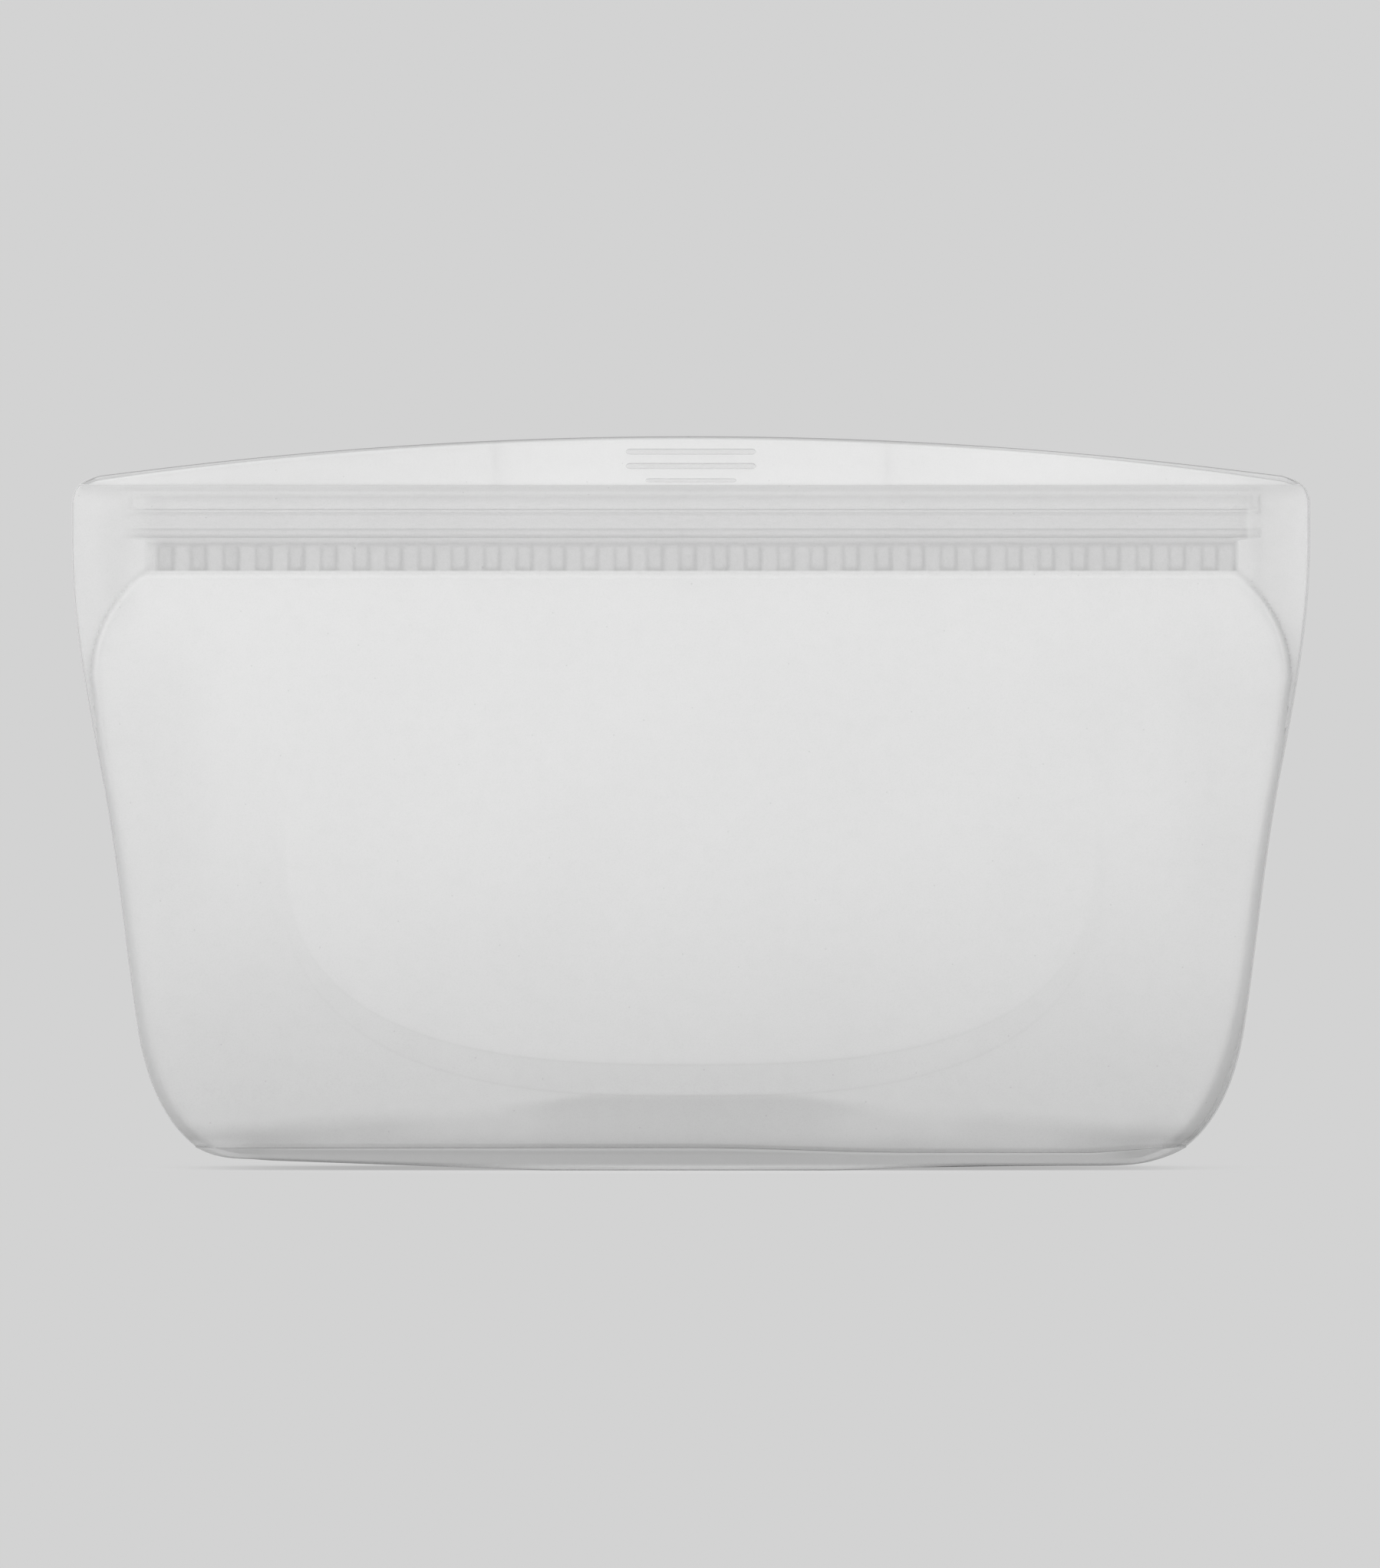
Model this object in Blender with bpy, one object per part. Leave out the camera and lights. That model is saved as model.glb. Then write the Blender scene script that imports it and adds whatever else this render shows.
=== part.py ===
"""Reusable silicone storage bag with a press zip, closed and standing on its base.

Metres, +Z up. The width runs along X, the front wall faces -Y, and the origin is the middle of the
base's underside. Every piece is placed from the driving sizes below.
"""

import math

import bmesh
import bpy
from mathutils import Matrix, Vector

# Outline seen from the front
BAG_WIDTH = 0.1900
BAG_HEIGHT = 0.1123
TOP_RISE = 0.0067
TOP_CORNER_RADIUS = 0.0030
FULL_WIDTH_DROP = 0.0163
WAIST_WIDTH = 0.1807
WAIST_HEIGHT = 0.0600
WAIST_SLOPE = 0.19
HEEL_WIDTH = 0.1700
HEEL_HEIGHT = 0.0220
HEEL_SLOPE = 0.15
HEEL_FULLNESS = 0.60
BASE_LENGTH = 0.1300
SHOULDER_RADIUS = 0.0154
SHOULDER_DROP = 0.0142

# Depth from front to back
BASE_DEPTH = 0.0204
BELLY_DEPTH = 0.0224
BELLY_HEIGHT = 0.0110
FOOT_DEPTH = 0.0186
TAPER_POWER = 1.6
SECTION_POWER = 12.0

# Sheets and seams
WALL = 0.0012
CLEARANCE = 0.0003
RIM_HEIGHT = 0.0034
RIM_RADIUS = 0.0014
RIM_WALL = 0.0024
BASE_THICKNESS = 0.0016
SEAM_WIDTH = 0.0007
SEAM_THICKNESS = 0.0016
WEB_TIP = 0.0003

# Press zip, stacked downwards from the top of its bands
ZIP_END_MARGIN = 0.0080
ZIP_GAP = 0.0028
ZIP_EDGE = 0.0002
ZIP_OVERLAP = 0.0015
RAIL_HEIGHT = 0.0008
UPPER_RIB_HEIGHT = 0.0023
END_STOP_LENGTH = 0.0010
RAIL_TO_BEAD = 0.00205
LOWER_RIB_HEIGHT = 0.0014
TOOTH_BAR_HEIGHT = 0.0015
TOOTH_HEIGHT = 0.0033
TOOTH_WIDTH = 0.00235
TOOTH_PITCH = 0.0050
TOOTH_END_MARGIN = 0.0035

# Lips and finger grips
LIP_HEIGHT = 0.00735
LIP_THICKNESS = 0.0011
LIP_END_MARGIN = 0.0050
TAB_WIDTH = 0.0600
GRIP_LENGTHS = (0.0200, 0.0200, 0.0140)
GRIP_PITCH = 0.0022
GRIP_HEIGHTS = (0.0009, 0.0009, 0.0006)
GRIP_DEPTH = 0.0006
GRIP_LIFT = 0.00045

# Mesh fineness
WALL_COLUMNS = 22
WALL_ROWS = 14
RIM_STEPS = 3
CURVE_STEPS = 10
EDGE_ROUNDING = 0.00012

# Heights and reaches that follow from the sizes above
TOP_ARC_RADIUS = (BAG_WIDTH**2 / 4 + TOP_RISE**2) / (2 * TOP_RISE)
ZIP_TOP = BAG_HEIGHT - LIP_HEIGHT - CLEARANCE
LIP_BOTTOM = ZIP_TOP + CLEARANCE
UPPER_RAIL_TOP = ZIP_TOP
UPPER_RIB_TOP = UPPER_RAIL_TOP - RAIL_HEIGHT - CLEARANCE
LOWER_RAIL_TOP = UPPER_RIB_TOP - UPPER_RIB_HEIGHT - CLEARANCE
LOWER_RIB_TOP = LOWER_RAIL_TOP - RAIL_HEIGHT - RAIL_TO_BEAD
TOOTH_BAR_TOP = LOWER_RIB_TOP - LOWER_RIB_HEIGHT - CLEARANCE
TOOTH_TOP = TOOTH_BAR_TOP - TOOTH_BAR_HEIGHT
TOOTH_BOTTOM = TOOTH_TOP - TOOTH_HEIGHT
ZIP_BOTTOM = TOOTH_BOTTOM - ZIP_EDGE
POUCH_TOP = ZIP_BOTTOM - CLEARANCE
POUCH_BOTTOM = RIM_HEIGHT + CLEARANCE
SHOULDER_HEIGHT = POUCH_TOP - SHOULDER_DROP
FULL_WIDTH_HEIGHT = BAG_HEIGHT - FULL_WIDTH_DROP
ZIP_HALF_LENGTH = BAG_WIDTH / 2 - ZIP_END_MARGIN
LIP_HALF_LENGTH = BAG_WIDTH / 2 - LIP_END_MARGIN
BAND_INNER = ZIP_GAP / 2
BAND_OUTER = BAND_INNER + WALL
FRONT, BACK = -1, 1
LEFT, RIGHT = -1, 1
SIDE_NAMES = {FRONT: "front", BACK: "back"}
HAND_NAMES = {LEFT: "left", RIGHT: "right"}


def hermite(value, start, end, start_slope, end_slope):
    """Cubic from start to end, each a (place, height of the curve) pair, with the slopes given there."""
    span = end[0] - start[0]
    t = (value - start[0]) / span
    rise = (2 * t**3 - 3 * t**2 + 1) * start[1] + (3 * t**2 - 2 * t**3) * end[1]
    lean = (t**3 - 2 * t**2 + t) * start_slope + (t**3 - t**2) * end_slope
    return rise + lean * span


def heel_half_width(z):
    """Half width of the rounded bottom corner: a Bezier curve from the base's end up to the heel."""
    reach = HEEL_WIDTH / 2 - BASE_LENGTH / 2
    xs = (
        BASE_LENGTH / 2,
        BASE_LENGTH / 2 + HEEL_FULLNESS * reach,
        HEEL_WIDTH / 2 - HEEL_SLOPE * HEEL_FULLNESS * HEEL_HEIGHT,
        HEEL_WIDTH / 2,
    )
    zs = (0.0, 0.0, HEEL_HEIGHT * (1 - HEEL_FULLNESS), HEEL_HEIGHT)
    low, high = 0.0, 1.0
    for _ in range(40):
        t = (low + high) / 2
        if bezier(zs, t) < z:
            low = t
        else:
            high = t
    return bezier(xs, (low + high) / 2)


def bezier(ends, t):
    """One coordinate of a cubic Bezier curve."""
    a, b, c, d = ends
    s = 1 - t
    return a * s**3 + 3 * b * s**2 * t + 3 * c * s * t**2 + d * t**3


def half_width(z):
    """Half the bag's width at a height: rounded heel, slanting side, then upright at the shoulders."""
    if z <= HEEL_HEIGHT:
        return heel_half_width(max(z, 0.0))
    heel = (HEEL_HEIGHT, HEEL_WIDTH / 2)
    waist = (WAIST_HEIGHT, WAIST_WIDTH / 2)
    full = (FULL_WIDTH_HEIGHT, BAG_WIDTH / 2)
    if z <= WAIST_HEIGHT:
        return hermite(z, heel, waist, HEEL_SLOPE, WAIST_SLOPE)
    if z <= FULL_WIDTH_HEIGHT:
        return hermite(z, waist, full, WAIST_SLOPE, 0.0)
    return BAG_WIDTH / 2


def seam_inner(z):
    """Inner edge of the side seam, less its clearance."""
    return half_width(z) - SEAM_WIDTH - CLEARANCE


def pouch_half_width(z):
    """Half width of the puffed pouch: inside the seams, then round the shoulder arc."""
    if z <= SHOULDER_HEIGHT:
        return seam_inner(z)
    rise = min(z - SHOULDER_HEIGHT, SHOULDER_RADIUS)
    centre = seam_inner(SHOULDER_HEIGHT) - SHOULDER_RADIUS
    return centre + math.sqrt(SHOULDER_RADIUS**2 - rise**2)


def pouch_half_depth(z):
    """Half depth of the pouch: a quarter ellipse from its foot to the belly, then a taper to the zip bands."""
    if z <= BELLY_HEIGHT:
        below = (BELLY_HEIGHT - z) / (BELLY_HEIGHT - POUCH_BOTTOM)
        return (FOOT_DEPTH + (BELLY_DEPTH - FOOT_DEPTH) * math.sqrt(max(0.0, 1 - below**2))) / 2
    above = (z - BELLY_HEIGHT) / (POUCH_TOP - BELLY_HEIGHT)
    return BAND_OUTER + (BELLY_DEPTH / 2 - BAND_OUTER) * (1 - above**TAPER_POWER)


def top_height(x):
    """Height of the bag's arched top edge."""
    return BAG_HEIGHT - TOP_ARC_RADIUS + math.sqrt(TOP_ARC_RADIUS**2 - x**2)


def section(half_length, half_depth):
    """Half of a rounded slot in plan: (x, depth) pairs from end to end, closest where it curves most."""
    points = []
    for i in range(WALL_COLUMNS + 1):
        u = math.sin(math.pi * (i / WALL_COLUMNS - 0.5))
        depth = half_depth * math.sqrt(max(0.0, 1 - abs(u) ** SECTION_POWER))
        points.append((half_length * u, depth))
    return points


def silicone(name, colour, roughness):
    """A plain silicone material."""
    material = bpy.data.materials.new(name)
    material.use_nodes = True
    shader = material.node_tree.nodes["Principled BSDF"]
    shader.inputs["Base Color"].default_value = (*colour, 1.0)
    shader.inputs["Roughness"].default_value = roughness
    shader.inputs["Metallic"].default_value = 0.0
    return material


def add_hinge(name, place):
    """An empty on a joint's axis, which carries the pieces that turn about it."""
    hinge = bpy.data.objects.new(name, None)
    hinge.location = place
    hinge.empty_display_size = 0.01
    bpy.context.scene.collection.objects.link(hinge)
    return hinge


def add_piece(name, bm, material, hinge=None, rounding=0.0):
    """Turns a closed bmesh in world coordinates into a named object, carried by its hinge."""
    bmesh.ops.recalc_face_normals(bm, faces=bm.faces)
    mesh = bpy.data.meshes.new(name)
    bm.to_mesh(mesh)
    bm.free()
    mesh.materials.append(material)
    piece = bpy.data.objects.new(name, mesh)
    bpy.context.scene.collection.objects.link(piece)
    if hinge is not None:
        mesh.transform(Matrix.Translation(-hinge.location))
        piece.parent = hinge
    if rounding > 0:
        bevel = piece.modifiers.new("edge rounding", "BEVEL")
        bevel.width = rounding
        bevel.segments = 1
        bevel.limit_method = "ANGLE"
    mesh.shade_smooth()
    mesh.set_sharp_from_angle(angle=math.radians(35))
    return piece


def prism(outline, axis, low, high):
    """Closed solid from a flat outline of (first, second) pairs, extruded along a world axis."""
    bm = bmesh.new()
    place = {
        "X": lambda a, b, along: Vector((along, a, b)),
        "Y": lambda a, b, along: Vector((a, along, b)),
    }[axis]
    rings = [[bm.verts.new(place(a, b, along)) for a, b in outline] for along in (low, high)]
    for i in range(len(outline)):
        j = (i + 1) % len(outline)
        bm.faces.new((rings[0][i], rings[0][j], rings[1][j], rings[1][i]))
    bm.faces.new(rings[0])
    bm.faces.new(list(reversed(rings[1])))
    return bm


def box_outline(first, second):
    """Rectangle from two (low, high) pairs."""
    return [(first[0], second[0]), (first[1], second[0]), (first[1], second[1]), (first[0], second[1])]


def ordered(a, b):
    """The two numbers, the lower one first."""
    return (min(a, b), max(a, b))


def steps(low, high, count):
    """Evenly spaced numbers from low to high, both included."""
    return [low + (high - low) * i / count for i in range(count + 1)]


def arc_points(centre, radius, start, end, count):
    """Points on an arc, with the angles in degrees."""
    angles = [math.radians(a) for a in steps(start, end, count)]
    return [(centre[0] + radius * math.cos(a), centre[1] + radius * math.sin(a)) for a in angles]


def wall_heights():
    """Heights of the rows over a wall, closest at its foot and at its shoulders."""
    shares = [(1 - math.cos(math.pi * t)) / 2 for t in steps(0.0, 1.0, WALL_ROWS)]
    return [POUCH_BOTTOM + (POUCH_TOP - POUCH_BOTTOM) * share for share in shares]


def wall_grid(side, inset):
    """Rows of points over one pouch wall, inset from its outer surface."""
    rows = []
    for z in wall_heights():
        reach = pouch_half_width(z) - inset
        depth = pouch_half_depth(z) - CLEARANCE / 2 - inset
        rows.append([Vector((x, side * (y + CLEARANCE / 2), z)) for x, y in section(reach, depth)])
    return rows


def shell(outer, inner):
    """Closed solid between two grids of points of equal size."""
    bm = bmesh.new()
    skins = [[[bm.verts.new(p) for p in row] for row in grid] for grid in (outer, inner)]
    rows, columns = len(outer), len(outer[0])
    for skin in skins:
        for i in range(rows - 1):
            for j in range(columns - 1):
                bm.faces.new((skin[i][j], skin[i][j + 1], skin[i + 1][j + 1], skin[i + 1][j]))
    a, b = skins
    for j in range(columns - 1):
        for i in (0, rows - 1):
            bm.faces.new((a[i][j], a[i][j + 1], b[i][j + 1], b[i][j]))
    for i in range(rows - 1):
        for j in (0, columns - 1):
            bm.faces.new((a[i][j], a[i + 1][j], b[i + 1][j], b[i][j]))
    return bm


def pouch_wall(side, material, hinge):
    """Puffed front or back wall, from the base's rim to the zip band."""
    bm = shell(wall_grid(side, 0.0), wall_grid(side, WALL))
    add_piece(f"{SIDE_NAMES[side]}_wall", bm, material, hinge)


def base_ring(bm, z, half_length, half_depth):
    """Closed ring of vertices round the base at one height."""
    half = section(half_length, half_depth)
    points = [(x, -y) for x, y in half] + [(x, y) for x, y in reversed(half[1:-1])]
    return [bm.verts.new((x, y, z)) for x, y in points]


def base_panel(material):
    """Boat-shaped base: a flat floor with a rounded rim that the walls stand on."""
    bm = bmesh.new()
    turns = [math.radians(a) for a in steps(0, 90, RIM_STEPS)]
    inset = BASE_DEPTH / 2 - RIM_RADIUS
    lower = [(RIM_RADIUS * (1 - math.cos(a)), inset + RIM_RADIUS * math.sin(a)) for a in turns]
    upper = [(RIM_HEIGHT - z, depth) for z, depth in reversed(lower)]
    rings = [base_ring(bm, z, half_width(z), depth) for z, depth in lower + upper]
    for z in (RIM_HEIGHT, BASE_THICKNESS):
        rings.append(base_ring(bm, z, half_width(z) - RIM_WALL, BASE_DEPTH / 2 - RIM_WALL))
    for ring, above in zip(rings, rings[1:]):
        for i in range(len(ring)):
            j = (i + 1) % len(ring)
            bm.faces.new((ring[i], ring[j], above[j], above[i]))
    bm.faces.new(rings[0])
    bm.faces.new(rings[-1])
    add_piece("base_panel", bm, material)


def corner_start():
    """Height where the side turns into the rounded top corner."""
    return top_height(BAG_WIDTH / 2 - TOP_CORNER_RADIUS) - TOP_CORNER_RADIUS


def side_seam(hand, material):
    """Bead that closes the front and back walls together along one side."""
    heights = wall_heights() + [corner_start() - CLEARANCE]
    half = SEAM_THICKNESS / 2
    grids = []
    for y in (-half, half):
        inner = [Vector((hand * (half_width(z) - SEAM_WIDTH), y, z)) for z in heights]
        outer = [Vector((hand * half_width(z), y, z)) for z in heights]
        grids.append([inner, outer])
    add_piece(f"{HAND_NAMES[hand]}_side_seam", shell(*grids), material)


def corner_web(hand, material):
    """Flat corner where both walls are fused, between the shoulder, the zip's end and the side seam."""
    drop = CLEARANCE + WEB_TIP
    tip = SHOULDER_HEIGHT + math.sqrt(2 * SHOULDER_RADIUS * drop - drop**2)
    corner = BAG_WIDTH / 2 - TOP_CORNER_RADIUS
    zip_side = ZIP_HALF_LENGTH + CLEARANCE
    lip_side = LIP_HALF_LENGTH + CLEARANCE
    outline = [(seam_inner(z), z) for z in steps(tip, corner_start() - CLEARANCE, CURVE_STEPS)]
    outline += arc_points((corner, corner_start()), TOP_CORNER_RADIUS, 0, 90, CURVE_STEPS // 2)
    outline += [(lip_side, top_height(lip_side)), (lip_side, ZIP_TOP), (zip_side, ZIP_TOP)]
    outline += [(zip_side, POUCH_TOP)]
    heights = steps(POUCH_TOP, tip, CURVE_STEPS)
    outline += [(pouch_half_width(z) + CLEARANCE, z) for z in heights]
    mirrored = [(hand * x, z) for x, z in outline]
    add_piece(f"{HAND_NAMES[hand]}_corner_web", prism(mirrored, "Y", -WALL, WALL), material)


def bar(name, along, y, z, material, hinge):
    """Straight bar along X with lightly rounded edges."""
    outline = box_outline(ordered(*y), ordered(*z))
    add_piece(name, prism(outline, "X", *along), material, hinge, EDGE_ROUNDING)


def zip_band(side, material, hinge):
    """Flat band at the top of a wall, which carries that wall's half of the zip."""
    length = (-ZIP_HALF_LENGTH, ZIP_HALF_LENGTH)
    depth = (side * BAND_OUTER, side * BAND_INNER)
    bar(f"{SIDE_NAMES[side]}_zip_band", length, depth, (ZIP_BOTTOM, ZIP_TOP), material, hinge)


def reach_from(side):
    """Depth of a zip profile, from its own band across the middle by half the zip's overlap."""
    return (side * (BAND_INNER - CLEARANCE), -side * ZIP_OVERLAP / 2)


def front_zip_ribs(material, hinge):
    """Upper rib, which presses between the back rails, and the lower rib, below them."""
    upper_half = ZIP_HALF_LENGTH - END_STOP_LENGTH - CLEARANCE
    upper = (UPPER_RIB_TOP - UPPER_RIB_HEIGHT, UPPER_RIB_TOP)
    lower = (LOWER_RIB_TOP - LOWER_RIB_HEIGHT, LOWER_RIB_TOP)
    lower_length = (-ZIP_HALF_LENGTH, ZIP_HALF_LENGTH)
    depth = reach_from(FRONT)
    bar("front_zip_upper_rib", (-upper_half, upper_half), depth, upper, material, hinge)
    bar("front_zip_lower_rib", lower_length, depth, lower, material, hinge)


def back_zip_rails(material, hinge):
    """Two rails that make the channel for the upper rib, and the stops that close its ends."""
    length = (-ZIP_HALF_LENGTH, ZIP_HALF_LENGTH)
    depth = reach_from(BACK)
    for name, top in (("upper", UPPER_RAIL_TOP), ("lower", LOWER_RAIL_TOP)):
        bar(f"back_zip_{name}_rail", length, depth, (top - RAIL_HEIGHT, top), material, hinge)
    heights = (UPPER_RIB_TOP - UPPER_RIB_HEIGHT, UPPER_RIB_TOP)
    for hand in (LEFT, RIGHT):
        ends = ordered(hand * (ZIP_HALF_LENGTH - END_STOP_LENGTH), hand * ZIP_HALF_LENGTH)
        bar(f"{HAND_NAMES[hand]}_zip_end_stop", ends, depth, heights, material, hinge)


def tooth_strip(side, material, hinge):
    """Bar with a row of square teeth below it. The back row stands half a pitch from the front row."""
    half = ZIP_HALF_LENGTH - TOOTH_END_MARGIN
    shift = TOOTH_PITCH / 2 if side == BACK else 0.0
    count = int((half - shift - TOOTH_WIDTH / 2) / TOOTH_PITCH)
    last = count - 1 if side == BACK and shift + count * TOOTH_PITCH > half else count
    centres = [shift + TOOTH_PITCH * i for i in range(-last - (1 if side == BACK else 0), last + 1)]
    outline = [(half, TOOTH_BAR_TOP), (-half, TOOTH_BAR_TOP), (-half, TOOTH_TOP)]
    for x in centres:
        left, right = x - TOOTH_WIDTH / 2, x + TOOTH_WIDTH / 2
        outline += [(left, TOOTH_TOP), (left, TOOTH_BOTTOM), (right, TOOTH_BOTTOM), (right, TOOTH_TOP)]
    outline += [(half, TOOTH_TOP)]
    depth = ordered(side * (BAND_INNER - CLEARANCE), side * CLEARANCE / 2)
    add_piece(f"{SIDE_NAMES[side]}_tooth_strip", prism(outline, "Y", *depth), material, hinge)


def lip_piece(name, side, start, end, material, hinge):
    """Stretch of a lip between two places along X, arched along its top edge."""
    top = [(x, top_height(x)) for x in steps(end, start, CURVE_STEPS)]
    outline = [(start, LIP_BOTTOM), (end, LIP_BOTTOM), *top]
    depth = ordered(side * BAND_OUTER, side * (BAND_OUTER - LIP_THICKNESS))
    add_piece(name, prism(outline, "Y", *depth), material, hinge)


def lip(side, material, wall_hinge, tab_hinge):
    """Lip above the zip: two wings that stay with the wall, and the pull tab between them."""
    tab = TAB_WIDTH / 2
    for hand in (LEFT, RIGHT):
        ends = ordered(hand * (tab + CLEARANCE), hand * LIP_HALF_LENGTH)
        name = f"{SIDE_NAMES[side]}_lip_{HAND_NAMES[hand]}"
        lip_piece(name, side, *ends, material, wall_hinge)
    lip_piece(f"{SIDE_NAMES[side]}_pull_tab", side, -tab, tab, material, tab_hinge)


def grip_ribs(side, material, hinge):
    """Finger ribs on the outside of a pull tab, the lowest one shorter."""
    near = BAND_OUTER + CLEARANCE
    for i, (length, height) in enumerate(zip(GRIP_LENGTHS, GRIP_HEIGHTS)):
        middle = LIP_BOTTOM + GRIP_LIFT + GRIP_PITCH * (len(GRIP_LENGTHS) - 1 - i)
        heights = (middle - height / 2, middle + height / 2)
        depth = (side * near, side * (near + GRIP_DEPTH))
        name = f"{SIDE_NAMES[side]}_grip_rib_{i + 1}"
        bar(name, (-length / 2, length / 2), depth, heights, material, hinge)


def main():
    for old in list(bpy.data.objects):
        bpy.data.objects.remove(old)
    wall = silicone("frosted silicone", (0.83, 0.83, 0.83), 0.45)
    base = silicone("base silicone", (0.74, 0.74, 0.74), 0.50)
    zipper = silicone("zip silicone", (0.70, 0.70, 0.70), 0.40)
    base_panel(base)
    for hand in (LEFT, RIGHT):
        side_seam(hand, wall)
        corner_web(hand, wall)
    for side in (FRONT, BACK):
        name = SIDE_NAMES[side]
        wall_hinge = add_hinge(f"{name}_wall_hinge", (0, side * FOOT_DEPTH / 2, POUCH_BOTTOM))
        tab_hinge = add_hinge(f"{name}_tab_hinge", (0, side * BAND_OUTER, LIP_BOTTOM))
        pouch_wall(side, wall, wall_hinge)
        zip_band(side, wall, wall_hinge)
        tooth_strip(side, zipper, wall_hinge)
        lip(side, wall, wall_hinge, tab_hinge)
        grip_ribs(side, wall, tab_hinge)
        if side == FRONT:
            front_zip_ribs(zipper, wall_hinge)
        else:
            back_zip_rails(zipper, wall_hinge)


main()
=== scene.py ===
"""Looks of a reusable silicone bag with a press zip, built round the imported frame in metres, front to -Y."""

import math

import bpy
import numpy as np
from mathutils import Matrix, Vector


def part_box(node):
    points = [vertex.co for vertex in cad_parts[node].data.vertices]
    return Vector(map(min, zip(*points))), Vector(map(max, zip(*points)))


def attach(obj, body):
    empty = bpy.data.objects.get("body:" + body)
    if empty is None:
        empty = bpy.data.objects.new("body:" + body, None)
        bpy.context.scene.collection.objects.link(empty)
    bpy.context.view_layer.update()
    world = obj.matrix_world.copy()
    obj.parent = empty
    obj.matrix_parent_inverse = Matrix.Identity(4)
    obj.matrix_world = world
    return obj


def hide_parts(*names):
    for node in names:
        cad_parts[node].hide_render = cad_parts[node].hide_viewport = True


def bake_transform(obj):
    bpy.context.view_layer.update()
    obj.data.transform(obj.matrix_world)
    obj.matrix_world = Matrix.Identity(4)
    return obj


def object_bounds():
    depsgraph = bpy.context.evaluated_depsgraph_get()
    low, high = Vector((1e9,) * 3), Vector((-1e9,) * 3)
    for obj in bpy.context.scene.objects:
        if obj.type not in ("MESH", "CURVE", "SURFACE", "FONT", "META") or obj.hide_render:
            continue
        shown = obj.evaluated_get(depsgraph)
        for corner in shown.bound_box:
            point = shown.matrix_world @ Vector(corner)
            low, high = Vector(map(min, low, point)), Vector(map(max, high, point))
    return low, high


bl_info = {
    "name": "Reusable silicone bag",
    "version": (1, 0, 0),
    "blender": (4, 5, 0),
    "location": "3D View > Sidebar > Silicone bag",
    "description": "Builds the frosted pieces of a stand-up silicone bag, and a plain stage for it",
    "category": "Add Mesh",
}

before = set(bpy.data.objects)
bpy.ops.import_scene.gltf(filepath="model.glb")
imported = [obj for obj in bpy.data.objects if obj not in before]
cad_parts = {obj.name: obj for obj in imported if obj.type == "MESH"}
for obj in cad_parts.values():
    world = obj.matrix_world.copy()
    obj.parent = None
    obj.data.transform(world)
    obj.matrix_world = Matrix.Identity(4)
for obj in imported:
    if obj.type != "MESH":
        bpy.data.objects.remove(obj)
FRAME_BOUNDS = [list(corner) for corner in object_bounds()]
BOXES = {node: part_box(node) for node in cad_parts}
FRONT, BACK = -1, 1
LEFT, RIGHT = -1, 1
SIDE_NAMES = {FRONT: "front", BACK: "back"}
HAND_NAMES = {LEFT: "left", RIGHT: "right"}

# Gaps that keep touching pieces apart, and how far the sheets and beads reach below the walls' feet.
HAIR = 0.00001
SLIT = 0.00003
FOOT_OVERLAP = 0.00025
# Places across the bag, from its middle, where the belly's hump falls off and where its ends come down.
HUMP_SIDES = (0.014, 0.034)
BELLY_ENDS = (0.030, 0.085)
# The two shallow arches: height of their crown, power of their curve, and (half width, drop) of each.
ARCH_CROWN = 0.0509
ARCH_POWER = 2.75
ARCHES = ((0.0630, 0.0395), (0.0618, 0.0347))
# Shares of a sheet's half width between which it stops following its opening wall.
OPEN_FADE = (0.35, 0.965)
# Half width of a pull tab's stiff middle, and height over which it bends at its hinge.
TAB_MIDDLE = 0.011
TAB_BEND = 0.0024
# Round of a tooth's corners, seen from the front.
TOOTH_ROUND = 0.0008
# Smooth edges sharper than this angle are shaded as corners.
CORNER_ANGLE = math.radians(38)


def low_of(node, axis):
    """Lowest coordinate of a frame node along an axis."""
    return BOXES[node][0][axis]


def high_of(node, axis):
    """Highest coordinate of a frame node along an axis."""
    return BOXES[node][1][axis]


def length_property(name, description, default):
    """A length in metres."""
    return bpy.props.FloatProperty(
        name=name, description=description, default=default, unit="LENGTH", subtype="DISTANCE", precision=5
    )


def factor_property(name, description, default):
    """A plain number."""
    return bpy.props.FloatProperty(name=name, description=description, default=default, precision=3)


def colour_property(name, description, default):
    """A linear colour."""
    return bpy.props.FloatVectorProperty(
        name=name, description=description, default=default, subtype="COLOR", size=3, min=0.0, max=1.0
    )


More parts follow.
